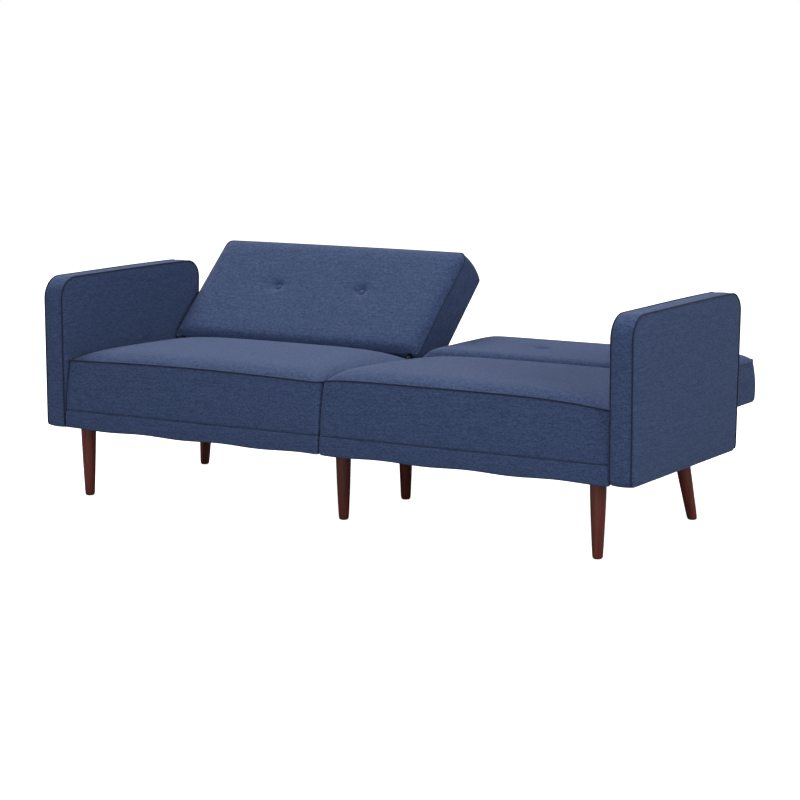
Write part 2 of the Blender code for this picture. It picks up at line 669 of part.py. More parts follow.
def build_seat_cushion(side, collection, cutters, fabric):
    """One half's seat cushion, with slots at its rear for the hinges."""
    x_range = span(side, HALF_INNER_X, HALF_OUTER_X)
    low = (x_range[0], FRONT_Y + SEAT_SETBACK, BAND_TOP + TOUCH_GAP)
    high = (x_range[1], SEAT_REAR_Y, SEAT_EDGE_HEIGHT)
    cushion = add_cushion(f"seat_cushion_{side}", low, high,
                          (SEAT_CORNER_RADIUS, CREASE_CORNER_RADIUS), SEAT_CROWN, collection,
                          fabric)
    for vert in cushion.data.vertices:
        from_rear = (high[1] - vert.co.y) / (high[1] - low[1])
        vert.co.y += SEAT_FRONT_LEAN * from_rear * (vert.co.z - low[2]) / (high[2] - low[2])
    top = SEAT_EDGE_HEIGHT + CUTTER_REACH
    slots = []
    for end in ENDS:
        slot = layer(side, end, WEB_INSET - SLOT_MARGIN, FRAME_INSET + SLOT_MARGIN)
        foot = layer(side, end, -SLOT_MARGIN, FRAME_INSET + SLOT_MARGIN - TOUCH_GAP)
        bottom = BAND_TOP - SLOT_MARGIN
        start = PIVOT_Y + FLANGE_FROM_PIVOT[0] - SLOT_MARGIN
        mouth = PIVOT_Y - SECTOR_RADIUS - SLOT_MARGIN
        slots.append(add_box(f"seat_slot_{side}_{end}", (slot[0], start, bottom),
                             (slot[1], PIVOT_Y, PIVOT_HEIGHT - SECTOR_RADIUS), cutters))
        slots.append(add_box(f"seat_mouth_{side}_{end}",
                             (slot[0] + TOUCH_GAP, mouth, PIVOT_HEIGHT - SECTOR_RADIUS - SLOT_MARGIN),
                             (slot[1] - TOUCH_GAP, PIVOT_Y + TOUCH_GAP, top), cutters))
        slots.append(add_box(f"seat_foot_{side}_{end}",
                             (foot[0], start - TOUCH_GAP, bottom - TOUCH_GAP),
                             (foot[1], PIVOT_Y + 2 * TOUCH_GAP,
                              BAND_TOP + PLATE_THICKNESS + SLOT_MARGIN), cutters))
    combine(cushion, slots, "DIFFERENCE")


def build_back(side, collection, cutters, fabric, timber):
    """One half's back laid flat: cushion, frame, closing panel and buttons."""
    x_range = span(side, HALF_INNER_X, HALF_OUTER_X)
    top = BACK_EDGE_RISE
    bottom = BACK_EDGE_RISE - BACK_THICKNESS
    start_y, low_z = around_pivot((BACK_START, bottom))
    end_y, high_z = around_pivot((BACK_LENGTH, top))
    cushion = add_cushion(f"back_cushion_{side}", (x_range[0], start_y, low_z),
                          (x_range[1], end_y, high_z), (CREASE_CORNER_RADIUS, BACK_CORNER_RADIUS),
                          BACK_CROWN, collection, fabric)
    wall = POCKET_WALL
    pocket_top = low_z + POCKET_DEPTH
    pocket = add_box(f"back_pocket_{side}", (x_range[0] + wall, PIVOT_Y + PANEL_START - TOUCH_GAP,
                                             low_z - wall),
                     (x_range[1] - wall, end_y - wall, pocket_top), cutters)
    cuts = [pocket]
    for end in ENDS:
        slot = layer(side, end, WEB_INSET - SLOT_MARGIN, FRAME_INSET + SLOT_MARGIN)
        cuts.append(add_box(f"back_slot_{side}_{end}", (slot[0], PIVOT_Y, low_z - wall),
                            (slot[1], PIVOT_Y + BACK_ARM_PAD[1], PIVOT_HEIGHT - EYE_RADIUS / 2),
                            cutters))
        cuts.append(add_box(f"back_mouth_{side}_{end}",
                            (slot[0] + TOUCH_GAP, PIVOT_Y + TOUCH_GAP, PIVOT_HEIGHT - SECTOR_RADIUS),
                            (slot[1] - TOUCH_GAP, PIVOT_Y + SECTOR_RADIUS, high_z + wall), cutters))

    moving = [cushion]
    middle = sum(x_range) / 2
    crown_top = high_z + sum(rise for inset, rise in BACK_CROWN)
    seat_z = crown_top - BUTTON_SINK
    for sign, name in ((-1, "a"), (1, "b")):
        x = middle + sign * BUTTON_SPACING / 2
        y = PIVOT_Y + BUTTON_FROM_PIVOT
        well_radius = BUTTON_RADIUS + WELL_CLEARANCE
        well = add_turned(f"button_well_{side}_{name}",
                          [(0, 2 * BUTTON_SINK), (well_radius, 2 * BUTTON_SINK),
                           (well_radius, 0), (0, 0)],
                          16, (x, y, seat_z), cutters)
        cuts.append(well)
        profile = [(0, BUTTON_HEIGHT)]
        profile += [(BUTTON_RADIUS * math.sin(math.radians(turn)),
                     BUTTON_HEIGHT / 2 * (1 + math.cos(math.radians(turn)))) for turn in (30, 60, 90)]
        profile += [(BUTTON_RADIUS, TOUCH_GAP), (0, TOUCH_GAP)]
        button = add_turned(f"back_button_{side}_{name}", profile, 16, (x, y, seat_z), collection,
                            fabric)
        smooth(button)
        moving.append(button)
    combine(cushion, cuts, "DIFFERENCE")

    frame_x = layer(side, "inner", FRAME_INSET, HALF_OUTER_X - HALF_INNER_X - FRAME_INSET)
    frame_y = (PIVOT_Y + FRAME_START, end_y - wall - TOUCH_GAP)
    frame_z = (pocket_top - TOUCH_GAP - FRAME_THICKNESS, pocket_top - TOUCH_GAP)
    frame = add_box(f"back_frame_{side}", (frame_x[0], frame_y[0], frame_z[0]),
                    (frame_x[1], frame_y[1], frame_z[1]), collection, timber)
    column = (frame_x[1] - frame_x[0] - FRAME_BAR) / FRAME_COLUMNS
    row = (frame_y[1] - frame_y[0] - FRAME_BAR) / FRAME_ROWS
    windows = []
    for column_index in range(FRAME_COLUMNS):
        for row_index in range(FRAME_ROWS):
            left = frame_x[0] + FRAME_BAR + column_index * column
            near = frame_y[0] + FRAME_BAR + row_index * row
            windows.append(add_box(f"back_window_{side}_{column_index}_{row_index}",
                                   (left, near, low_z - wall),
                                   (left + column - FRAME_BAR, near + row - FRAME_BAR, high_z),
                                   cutters))
    combine(frame, windows, "DIFFERENCE")

    inset = wall + TOUCH_GAP
    panel = add_box(f"back_panel_{side}", (x_range[0] + inset, PIVOT_Y + PANEL_START, low_z),
                    (x_range[1] - inset, end_y - inset, low_z + PANEL_THICKNESS), collection,
                    fabric)
    return moving + cuts + [frame, panel] + windows


def hang_back(side, pieces):
    """Parent a back's pieces to an empty on its pivot, and turn it to its rest angle."""
    pivot = bpy.data.objects.new(f"back_pivot_{side}", None)
    bpy.context.scene.collection.objects.link(pivot)
    pivot.location = (0, PIVOT_Y, PIVOT_HEIGHT)
    bpy.context.view_layer.update()
    for piece in pieces:
        piece.parent = pivot
        piece.matrix_parent_inverse = pivot.matrix_world.inverted()
    if side == "left":
        pivot.rotation_euler = (math.radians(BACK_RAISED_DEG), 0, 0)


def main():
    """Build the sofa bed."""
    clear_scene()
    collection = make_collection(OBJECT_NAME)
    cutters = make_collection("cutters")
    fabric = make_material("navy_linen", (0.045, 0.068, 0.15), 0.9)
    cloth = make_material("black_lining", (0.02, 0.02, 0.022), 0.95)
    timber = make_material("pine", (0.55, 0.40, 0.24), 0.7)
    walnut = make_material("dark_red_walnut", (0.085, 0.03, 0.022), 0.35)
    steel = make_material("black_steel", (0.08, 0.08, 0.085), 0.45, 1.0)
    for side in SIDES:
        build_arm(side, collection, cutters, fabric, timber)
        build_base(side, collection, fabric, timber, cloth)
        build_springs(side, collection, cutters, steel)
        build_seat_cushion(side, collection, cutters, fabric)
        pieces = build_back(side, collection, cutters, fabric, timber)
        for end in ENDS:
            pieces += build_hinge(side, end, collection, cutters, steel)
        hang_back(side, pieces)
    build_legs(collection, walnut, steel)
    bpy.context.view_layer.update()


main()
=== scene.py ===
import json
import math

import bmesh
import bpy
import numpy as np
from bpy.props import FloatProperty, FloatVectorProperty, IntProperty, PointerProperty
from bpy.types import Operator, Panel, PropertyGroup
from mathutils import Matrix, Vector


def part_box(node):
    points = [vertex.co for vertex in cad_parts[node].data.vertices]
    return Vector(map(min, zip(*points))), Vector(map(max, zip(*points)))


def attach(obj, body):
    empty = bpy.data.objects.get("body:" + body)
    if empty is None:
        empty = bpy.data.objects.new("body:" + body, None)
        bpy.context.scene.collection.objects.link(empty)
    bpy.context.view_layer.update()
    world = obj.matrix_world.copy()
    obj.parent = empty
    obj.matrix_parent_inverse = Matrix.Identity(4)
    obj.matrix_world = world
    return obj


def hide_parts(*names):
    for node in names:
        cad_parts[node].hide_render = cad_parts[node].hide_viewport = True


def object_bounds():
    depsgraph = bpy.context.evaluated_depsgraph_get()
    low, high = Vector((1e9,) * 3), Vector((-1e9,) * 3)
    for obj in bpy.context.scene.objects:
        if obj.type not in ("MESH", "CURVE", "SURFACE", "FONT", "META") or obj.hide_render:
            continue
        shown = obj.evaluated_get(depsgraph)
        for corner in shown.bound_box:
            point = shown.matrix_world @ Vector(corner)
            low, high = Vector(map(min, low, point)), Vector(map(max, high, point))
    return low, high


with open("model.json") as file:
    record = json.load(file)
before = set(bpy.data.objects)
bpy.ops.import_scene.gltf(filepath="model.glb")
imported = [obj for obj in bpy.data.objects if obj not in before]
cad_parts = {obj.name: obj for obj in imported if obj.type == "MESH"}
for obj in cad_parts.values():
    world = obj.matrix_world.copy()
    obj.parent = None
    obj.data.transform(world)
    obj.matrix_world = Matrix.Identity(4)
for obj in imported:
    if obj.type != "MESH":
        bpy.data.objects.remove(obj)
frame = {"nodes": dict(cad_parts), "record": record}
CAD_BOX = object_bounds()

bl_info = {
    "name": "Split-back sofa bed upholstery",
    "version": (1, 0, 0),
    "blender": (4, 5, 0),
    "location": "3D View > Sidebar > Sofa",
    "description": "Upholsters a click-clack sofa bed round its frame: cushions, arms and welts",
    "category": "Add Mesh",
}

SIDES = {"left": -1, "right": 1}
ENDS = ("inner", "outer")
LEGS = ("front_left", "front_right", "middle_front", "middle_rear", "rear_left", "rear_right")
RECORD = frame["record"]
SEAT_SEAM_HEIGHT = 0.400
SEAT_LEAN = 0.017
BACK_CAD_CROWN = 0.023
BACK_SEAM_RISE = 0.004
SEAT_REAR_RISE = 0.0045
SEAT_REAR_DROOP = 0.010
# Rise of each front seam at its highest, then how far it droops by the split and by the arm, and
# how suddenly.
SEAT_FRONT_SEAMS = {"left": (0.0075, ((0.0085, 1.8), (0.0085, 1.8))),
                    "right": (0.0125, ((0.0085, 8.0), (0.0200, 3.2)))}
SLOT_WIDTH = 0.018
SLOT_LENGTH = 0.080
SLOT_TOP = 0.010
DUST_COVER_SAG = 0.0015
ARM_LEAN = 0.020
ARM_CORNERS = {"front_top": 0.062, "rear_top": 0.056, "bottom": 0.018}
ARM_REAR_DROP = 0.003
FOOT_RADIUS = 0.0140
BUTTON_STEPS = 32
BUTTON_SINK = 0.0015
WELT_THREAD = 0.0009
WELT_SLUB = 0.5
# Painted shade: the welts' cloth is drawn darker to stand in for the shadow along their seams,
# deeper still for the seats' and arms' welts.
WELT_PAINTED_SHADE = 0.55
DEEP_WELT_PAINTED_SHADE = 0.30
FLOOR_SIZE = 30
FLOOR_GAP = 0.001
# Each lamp's name, place, width and power in watts.
LAMPS = (("overhead_softbox", (-2.4, 2.0, 6.0), 3.2, 330),
         ("raised_softbox", (1.0, -3.5, 5.0), 3.0, 95),
         ("front_softbox", (0.5, -6.0, 1.0), 3.0, 88),
         ("right_softbox", (5.5, -1.5, 2.2), 3.0, 140))
LAMP_TARGET = (0, 0, 0.3)
CAMERA_PLACE = (3.5426, -5.8485, 1.3712)
CAMERA_TURN_DEG = (81.022, 0.17, 31.365)
CAMERA_LENS = 107.53
JOINTS = {joint["name"]: joint for joint in RECORD["behaviour"]["joints"]}


# ---------------------------------------------------------------- settings

class SofaSizes(PropertyGroup):
    """Sizes of the upholstery that the frame leaves open."""
    mesh_pitch: FloatProperty(
        name="Mesh pitch", description="Distance between the rows of a cushion's mesh",
        default=0.010, min=0.004, max=0.03, unit="LENGTH")
    welt_radius: FloatProperty(
        name="Welt radius", description="Radius of the cord inside the welts",
        default=0.0023, min=0.001, max=0.006, unit="LENGTH")
    seat_crown: FloatProperty(
        name="Seat crown", description="How far a seat's top rises above its seams",
        default=0.030, min=0.0, max=0.06, unit="LENGTH")
    back_crown: FloatProperty(
        name="Back crown", description="How far a back's face rises above its seams",
        default=0.026, min=0.0, max=0.06, unit="LENGTH")
    tuft_depth: FloatProperty(
        name="Tuft depth", description="How deep a button pulls the face of a back",
        default=0.020, min=0.0, max=0.04, unit="LENGTH")
    tuft_reach: FloatProperty(
        name="Tuft reach", description="How far round a button the face is pulled in",
        default=0.040, min=0.02, max=0.2, unit="LENGTH")
    button_height: FloatProperty(
        name="Button height", description="How far a button stands out of its dent",
        default=0.0105, min=0.002, max=0.02, unit="LENGTH")
    arm_puff: FloatProperty(
        name="Arm puff", description="How far the padding swells an arm's outer side",
        default=0.003, min=0.0, max=0.02, unit="LENGTH")
    leg_steps: IntProperty(
        name="Leg steps", description="Facets round a turned leg", default=64, min=16, max=128)


class SofaColours(PropertyGroup):
    """Colours of the cloth, the legs' wood and the floor."""
    linen: FloatVectorProperty(
        name="Linen", description="The cloth's middle colour", subtype="COLOR",
        default=(0.0400, 0.0685, 0.155), min=0.0, max=1.0)
    linen_light: FloatVectorProperty(
        name="Linen slubs", description="The colour of the cloth's pale slubs", subtype="COLOR",
        default=(0.086, 0.131, 0.262), min=0.0, max=1.0)
    linen_dark: FloatVectorProperty(
        name="Linen shade", description="The colour between the cloth's threads", subtype="COLOR",
        default=(0.0130, 0.026, 0.070), min=0.0, max=1.0)
    walnut: FloatVectorProperty(
        name="Leg stain", description="The legs' stain", subtype="COLOR",
        default=(0.105, 0.020, 0.012), min=0.0, max=1.0)
    walnut_dark: FloatVectorProperty(
        name="Leg grain", description="The dark lines of the legs' grain", subtype="COLOR",
        default=(0.034, 0.0075, 0.005), min=0.0, max=1.0)
    floor: FloatVectorProperty(
        name="Floor", description="The studio floor", subtype="COLOR",
        default=(0.93, 0.93, 0.93), min=0.0, max=1.0)


def sizes():
    """The sizes in the scene."""
    return bpy.context.scene.sofa_sizes


def colours():
    """The colours in the scene."""
    return bpy.context.scene.sofa_colours


# ---------------------------------------------------------------- node helpers

def new_group(name, inputs, outputs):
    """A shader node group with named float or colour sockets, and its two end nodes."""
    group = bpy.data.node_groups.new(name, "ShaderNodeTree")
    for socket, kind, value in inputs:
        made = group.interface.new_socket(socket, in_out="INPUT", socket_type=kind)
        if value is not None:
            made.default_value = value
    for socket, kind in outputs:
        group.interface.new_socket(socket, in_out="OUTPUT", socket_type=kind)
    start = group.nodes.new("NodeGroupInput")
    end = group.nodes.new("NodeGroupOutput")
    return group, start, end


def add_node(tree, kind, links=None, **values):
    """A node with its properties, its socket values and the sockets that feed it."""
    node = tree.nodes.new(kind)
    for key, value in values.items():
        setattr(node, key, value)
    for socket, source in (links or {}).items():
        if isinstance(source, bpy.types.NodeSocket):
            tree.links.new(source, node.inputs[socket])
        else:
            node.inputs[socket].default_value = source
    return node


def math_node(tree, operation, first, second=None, third=None):
    """A Math node's output."""
    links = {0: first}
    if second is not None:
        links[1] = second
    if third is not None:
        links[2] = third
    return add_node(tree, "ShaderNodeMath", links, operation=operation).outputs[0]


def mix_colour(tree, factor, first, second, blend="MIX"):
    """A colour Mix node's output."""
    node = tree.nodes.new("ShaderNodeMix")
    node.data_type = "RGBA"
    node.blend_type = blend
    for socket, source in ((0, factor), (6, first), (7, second)):
        if isinstance(source, bpy.types.NodeSocket):
            tree.links.new(source, node.inputs[socket])
        else:
            node.inputs[socket].default_value = source
    return node.outputs[2]


def noise_value(tree, vector, scale, detail=2.0, roughness=0.5):
    """A Noise Texture's value."""
    node = add_node(tree, "ShaderNodeTexNoise", {"Vector": vector, "Scale": scale, "Detail": detail,
                                                 "Roughness": roughness})
    return node.outputs["Fac"]


def ramp_value(tree, value, low, high):
    """A value stretched from a range to 0 to 1."""
    node = add_node(tree, "ShaderNodeMapRange", {"Value": value, "From Min": low, "From Max": high})
    return node.outputs["Result"]


# ---------------------------------------------------------------- shared effects

def linen_group():
    """The cloth: plain weave, slubs along both threads and slow shade changes.

    The weave lies in whichever plane of the piece the surface faces most, so it needs no UVs.
    """
    group = bpy.data.node_groups.get("linen_weave")
    if group:
        return group
    colour = "NodeSocketColor"
    number = "NodeSocketFloat"
    group, start, end = new_group(
        "linen_weave",
        [("Thread Pitch", number, 0.0011), ("Slub Strength", number, 1.0), ("Base", colour, None),
         ("Light", colour, None), ("Dark", colour, None)],
        [("Colour", colour), ("Height", number), ("Roughness", number)])
    place = group.nodes.new("ShaderNodeTexCoord")
    position = add_node(group, "ShaderNodeSeparateXYZ", {0: place.outputs["Object"]})
    facing = add_node(group, "ShaderNodeSeparateXYZ", {0: place.outputs["Normal"]})
    x, y, z = position.outputs
    across = [math_node(group, "ABSOLUTE", side) for side in facing.outputs]
    side_on = math_node(group, "GREATER_THAN", across[0],
                        math_node(group, "MAXIMUM", across[1], across[2]))
    flat_on = math_node(group, "GREATER_THAN", across[2],
                        math_node(group, "MAXIMUM", across[0], across[1]))
    warp = add_node(group, "ShaderNodeMix", {0: side_on, 2: x, 3: y}, data_type="FLOAT").outputs[0]
    weft = add_node(group, "ShaderNodeMix", {0: flat_on, 2: z, 3: y}, data_type="FLOAT").outputs[0]

    coarse = math_node(group, "MULTIPLY_ADD", math_node(group, "ADD", side_on, flat_on), -0.45, 1.0)
    slub_warp = add_node(group, "ShaderNodeMix", {0: side_on, 2: x, 3: math_node(
        group, "MULTIPLY", y, coarse)}, data_type="FLOAT").outputs[0]
    slub_weft = add_node(group, "ShaderNodeMix", {0: flat_on, 2: z, 3: math_node(
        group, "MULTIPLY", y, coarse)}, data_type="FLOAT").outputs[0]

    drift = noise_value(group, place.outputs["Object"], 35.0, 2.0)
    drift = math_node(group, "MULTIPLY", math_node(group, "SUBTRACT", drift, 0.5), 0.0016)
    warp = math_node(group, "ADD", warp, drift)
    weft = math_node(group, "SUBTRACT", weft, drift)

    pitch = start.outputs["Thread Pitch"]
    u = math_node(group, "DIVIDE", warp, pitch)
    v = math_node(group, "DIVIDE", weft, pitch)
    wave_u = math_node(group, "ABSOLUTE", math_node(group, "SINE",
                                                    math_node(group, "MULTIPLY", u, math.pi)))
    wave_v = math_node(group, "ABSOLUTE", math_node(group, "SINE",
                                                    math_node(group, "MULTIPLY", v, math.pi)))
    cell = math_node(group, "ADD", math_node(group, "FLOOR", u), math_node(group, "FLOOR", v))
    over = math_node(group, "FLOORED_MODULO", cell, 2.0)
    thread = add_node(group, "ShaderNodeMix", {0: over, 2: wave_u, 3: wave_v}, data_type="FLOAT")
    thread = thread.outputs[0]

    def streaks(along, across_it, length, width, salt):
        vector = add_node(group, "ShaderNodeCombineXYZ",
                          {0: math_node(group, "MULTIPLY", along, 1.0 / length),
                           1: math_node(group, "MULTIPLY", across_it, 1.0 / width), 2: salt})
        return noise_value(group, vector.outputs[0], 1.0, 2.0, 0.6)

    warp_slub = streaks(slub_weft, slub_warp, 0.0080, 0.0025, 3.1)
    weft_slub = streaks(slub_warp, slub_weft, 0.0090, 0.0026, 7.7)
    long_slub = streaks(slub_warp, slub_weft, 0.045, 0.0035, 12.3)
    slub = math_node(group, "ADD", math_node(group, "MULTIPLY", warp_slub, 0.75), weft_slub)
    slub = math_node(group, "ADD", slub, math_node(group, "MULTIPLY", long_slub, 0.35))
    slub = ramp_value(group, slub, 0.745, 1.355)
    mixed = math_node(group, "MULTIPLY_ADD", math_node(group, "SUBTRACT", slub, 0.5),
                      start.outputs["Slub Strength"], 0.5)

    cloud = ramp_value(group, noise_value(group, place.outputs["Object"], 4.5, 3.0), 0.3, 0.7)
    plum = mix_colour(group, 1.0, start.outputs["Base"], (1.10, 0.955, 0.98, 1.0), "MULTIPLY")
    tint = mix_colour(group, cloud, start.outputs["Base"], plum)
    deep = mix_colour(group, 0.62, tint, start.outputs["Dark"])
    pale = mix_colour(group, 0.72, tint, start.outputs["Light"])
    body = mix_colour(group, mixed, deep, pale)
    shade = math_node(group, "MULTIPLY", math_node(group, "SUBTRACT", 1.0, thread), 0.35)
    body = mix_colour(group, shade, body, start.outputs["Dark"])
    group.links.new(body, end.inputs["Colour"])
    height = math_node(group, "ADD", math_node(group, "MULTIPLY", thread, 0.6),
                       math_node(group, "MULTIPLY", slub, 0.5))
    group.links.new(height, end.inputs["Height"])
    rough = math_node(group, "ADD", math_node(group, "MULTIPLY", thread, -0.12), 0.96)
    group.links.new(rough, end.inputs["Roughness"])
    return group


def wear_group():
    """Rubbed edges and fine dust, as masks."""
    group = bpy.data.node_groups.get("wear_and_dust")
    if group:
        return group
    number = "NodeSocketFloat"
    group, start, end = new_group("wear_and_dust", [("Scale", number, 60.0)],
                                  [("Rubbed", number), ("Dust", number)])
    place = group.nodes.new("ShaderNodeTexCoord")
    edge = group.nodes.new("ShaderNodeNewGeometry")
    patch = add_node(group, "ShaderNodeTexNoise", {"Vector": place.outputs["Object"],
                                                   "Scale": start.outputs["Scale"], "Detail": 4.0})
    sharp = ramp_value(group, edge.outputs["Pointiness"], 0.52, 0.60)
    rubbed = math_node(group, "MULTIPLY", sharp, ramp_value(group, patch.outputs["Fac"], 0.4, 0.6))
    group.links.new(rubbed, end.inputs["Rubbed"])
    fine = noise_value(group, place.outputs["Object"], 18.0, 5.0, 0.65)
    group.links.new(ramp_value(group, fine, 0.48, 0.75), end.inputs["Dust"])
    return group


def new_material(name, **values):
    """A material and its Principled shader, with constants on the shader's own sockets."""
    material = bpy.data.materials.new(name)
    material.use_nodes = True
    shader = material.node_tree.nodes["Principled BSDF"]
    for socket, value in values.items():
        shader.inputs[socket.replace("_", " ")].default_value = value
    return material, material.node_tree, shader


def placed_group(tree, group, **values):
    """A group node with its own values."""
    node = tree.nodes.new("ShaderNodeGroup")
    node.node_tree = group
    for socket, value in values.items():
        node.inputs[socket.replace("_", " ")].default_value = value
    return node


def bump(tree, shader, height, strength, distance):
    """Feed a height to a shader's normal through one Bump node."""
    node = add_node(tree, "ShaderNodeBump", {"Height": height, "Strength": strength,
                                             "Distance": distance})
    tree.links.new(node.outputs["Normal"], shader.inputs["Normal"])


def linen_material(name="woven_linen", pitch=0.0011, slub=1.0, shade=1.0):
    """Woven navy linen, matt with a faint sheen."""
    material = bpy.data.materials.get(name)
    if material:
        return material
    colour = colours()
    material, tree, shader = new_material(name, Roughness=0.92, Sheen_Weight=0.25,
                                          Sheen_Roughness=0.45, Specular_IOR_Level=0.15)
    shader.inputs["Sheen Tint"].default_value = (0.55, 0.62, 0.85, 1.0)
    # A shade below 1 darkens all three colours as painted shade; the welts use it.
    tone = [tuple(shade * value for value in source) + (1.0,)
            for source in (colour.linen, colour.linen_light, colour.linen_dark)]
    cloth = placed_group(tree, linen_group(), Thread_Pitch=pitch, Slub_Strength=slub,
                         Base=tone[0], Light=tone[1], Dark=tone[2])
    tree.links.new(cloth.outputs["Colour"], shader.inputs["Base Color"])
    tree.links.new(cloth.outputs["Roughness"], shader.inputs["Roughness"])
    bump(tree, shader, cloth.outputs["Height"], 0.35, 0.0006)
    return material


def welt_material(painted_deep_shade=True):
    """The same cloth, cut on the bias round a cord, drawn darker as painted shade; darker still, as
    deeper painted shade, where it lies deep in a seam.
    """
    if painted_deep_shade:
        return linen_material("woven_linen_welt_painted_deep_shade", WELT_THREAD, WELT_SLUB, DEEP_WELT_PAINTED_SHADE)
    return linen_material("woven_linen_welt_painted_shade", WELT_THREAD, WELT_SLUB, WELT_PAINTED_SHADE)


def lining_material():
    """Black non-woven lining with a pressed dot pattern."""
    material = bpy.data.materials.get("pressed_lining")
    if material:
        return material
    material, tree, shader = new_material("pressed_lining", Roughness=0.95, Specular_IOR_Level=0.2)
    place = tree.nodes.new("ShaderNodeTexCoord")
    dots = add_node(tree, "ShaderNodeTexVoronoi", {"Vector": place.outputs["Object"],
                                                   "Scale": 420.0, "Randomness": 0.25})
    fibres = noise_value(tree, place.outputs["Object"], 260.0, 5.0, 0.7)
    tone = mix_colour(tree, ramp_value(tree, fibres, 0.3, 0.75), (0.010, 0.010, 0.011, 1),
                      (0.030, 0.030, 0.033, 1))
    tree.links.new(tone, shader.inputs["Base Color"])
    height = math_node(tree, "ADD", dots.outputs["Distance"], fibres)
    bump(tree, shader, height, 0.3, 0.0005)
    return material


def leg_material():
    """Turned hardwood with a dark red-brown stain under satin lacquer."""
    colour = colours()
    material, tree, shader = new_material("stained_hardwood", Roughness=0.42, Coat_Weight=0.15,
                                          Coat_Roughness=0.25, Specular_IOR_Level=0.3)
    place = tree.nodes.new("ShaderNodeTexCoord")
    stretch = add_node(tree, "ShaderNodeMapping", {"Vector": place.outputs["Object"],
                                                   "Scale": (1.0, 1.0, 0.055)})
    long_grain = stretch.outputs["Vector"]
    fine = noise_value(tree, long_grain, 420.0, 5.0, 0.65)
    bands = noise_value(tree, long_grain, 70.0, 3.0, 0.55)
    pores = ramp_value(tree, noise_value(tree, long_grain, 900.0, 2.0, 0.5), 0.62, 0.72)
    stain = tuple(colour.walnut) + (1.0,)
    dark = tuple(colour.walnut_dark) + (1.0,)
    warm = (colour.walnut[0] * 1.55, colour.walnut[1] * 1.5, colour.walnut[2] * 1.4, 1.0)
    tone = mix_colour(tree, ramp_value(tree, bands, 0.35, 0.68), stain, warm)
    tone = mix_colour(tree, math_node(tree, "MULTIPLY", ramp_value(tree, fine, 0.42, 0.70), 0.6),
                      tone, dark)
    tone = mix_colour(tree, math_node(tree, "MULTIPLY", pores, 0.7), tone, dark)
    wear = placed_group(tree, wear_group(), Scale=90.0)
    tone = mix_colour(tree, math_node(tree, "MULTIPLY", wear.outputs["Rubbed"], 0.35), tone, warm)
    tree.links.new(tone, shader.inputs["Base Color"])
    rough = math_node(tree, "ADD", math_node(tree, "MULTIPLY", fine, 0.16), 0.26)
    tree.links.new(rough, shader.inputs["Roughness"])
    bump(tree, shader, math_node(tree, "SUBTRACT", fine, pores), 0.12, 0.0004)
    return material


def timber_material():
    """Bare planed softwood, grain along the piece's longest side."""
    material, tree, shader = new_material("planed_softwood", Roughness=0.72, Specular_IOR_Level=0.3)
    place = tree.nodes.new("ShaderNodeTexCoord")
    stretch = add_node(tree, "ShaderNodeMapping", {"Vector": place.outputs["Object"],
                                                   "Scale": (0.6, 3.0, 9.0)})
    rings = add_node(tree, "ShaderNodeTexWave", {"Vector": stretch.outputs["Vector"], "Scale": 6.0,
                                                 "Distortion": 5.0, "Detail": 2.0,
                                                 "Detail Scale": 1.5})
    fibres = noise_value(tree, stretch.outputs["Vector"], 160.0, 4.0, 0.6)
    tone = mix_colour(tree, rings.outputs["Fac"], (0.52, 0.35, 0.19, 1), (0.64, 0.47, 0.29, 1))
    tone = mix_colour(tree, math_node(tree, "MULTIPLY", fibres, 0.4), tone, (0.40, 0.25, 0.13, 1))
    tree.links.new(tone, shader.inputs["Base Color"])
    bump(tree, shader, fibres, 0.2, 0.0005)
    return material


def metal_material(name, base, bright, metallic, roughness, dust=0.15):
    """Painted or plated steel with rubbed edges and a little dust."""
    material, tree, shader = new_material(name, Metallic=metallic, Roughness=roughness)
    wear = placed_group(tree, wear_group(), Scale=140.0)
    tone = mix_colour(tree, wear.outputs["Rubbed"], (*base, 1.0), (*bright, 1.0))
    tone = mix_colour(tree, math_node(tree, "MULTIPLY", wear.outputs["Dust"], dust), tone,
                      (0.30, 0.29, 0.27, 1.0))
    tree.links.new(tone, shader.inputs["Base Color"])
    place = tree.nodes.new("ShaderNodeTexCoord")
    grain = noise_value(tree, place.outputs["Object"], 900.0, 3.0, 0.6)
    rough = math_node(tree, "ADD", math_node(tree, "MULTIPLY", grain, 0.18), roughness - 0.09)
    tree.links.new(rough, shader.inputs["Roughness"])
    bump(tree, shader, grain, 0.15, 0.0002)
    return material


# ---------------------------------------------------------------- mesh helpers

def finish_piece(piece, material, body, nodes=()):
    """Give a piece its material, its body and the nodes that it stands for."""
    piece.data.materials.clear()
    piece.data.materials.append(material)
    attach(piece, body)
    if nodes:
        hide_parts(*nodes)
    return piece


def object_from_lists(name, verts, faces, matrix=None, angle=50.0):
    """A smooth-shaded mesh object from its points and faces."""
    mesh = bpy.data.meshes.new(name)
    mesh.from_pydata([tuple(vert) for vert in verts], [], faces)
    mesh.validate()
    solid = bmesh.new()
    solid.from_mesh(mesh)
    bmesh.ops.recalc_face_normals(solid, faces=solid.faces)
    solid.to_mesh(mesh)
    solid.free()
    piece = bpy.data.objects.new(name, mesh)
    bpy.context.scene.collection.objects.link(piece)
    mesh.shade_smooth()
    mesh.set_sharp_from_angle(angle=math.radians(angle))
    if matrix is not None:
        piece.matrix_world = matrix
    return piece


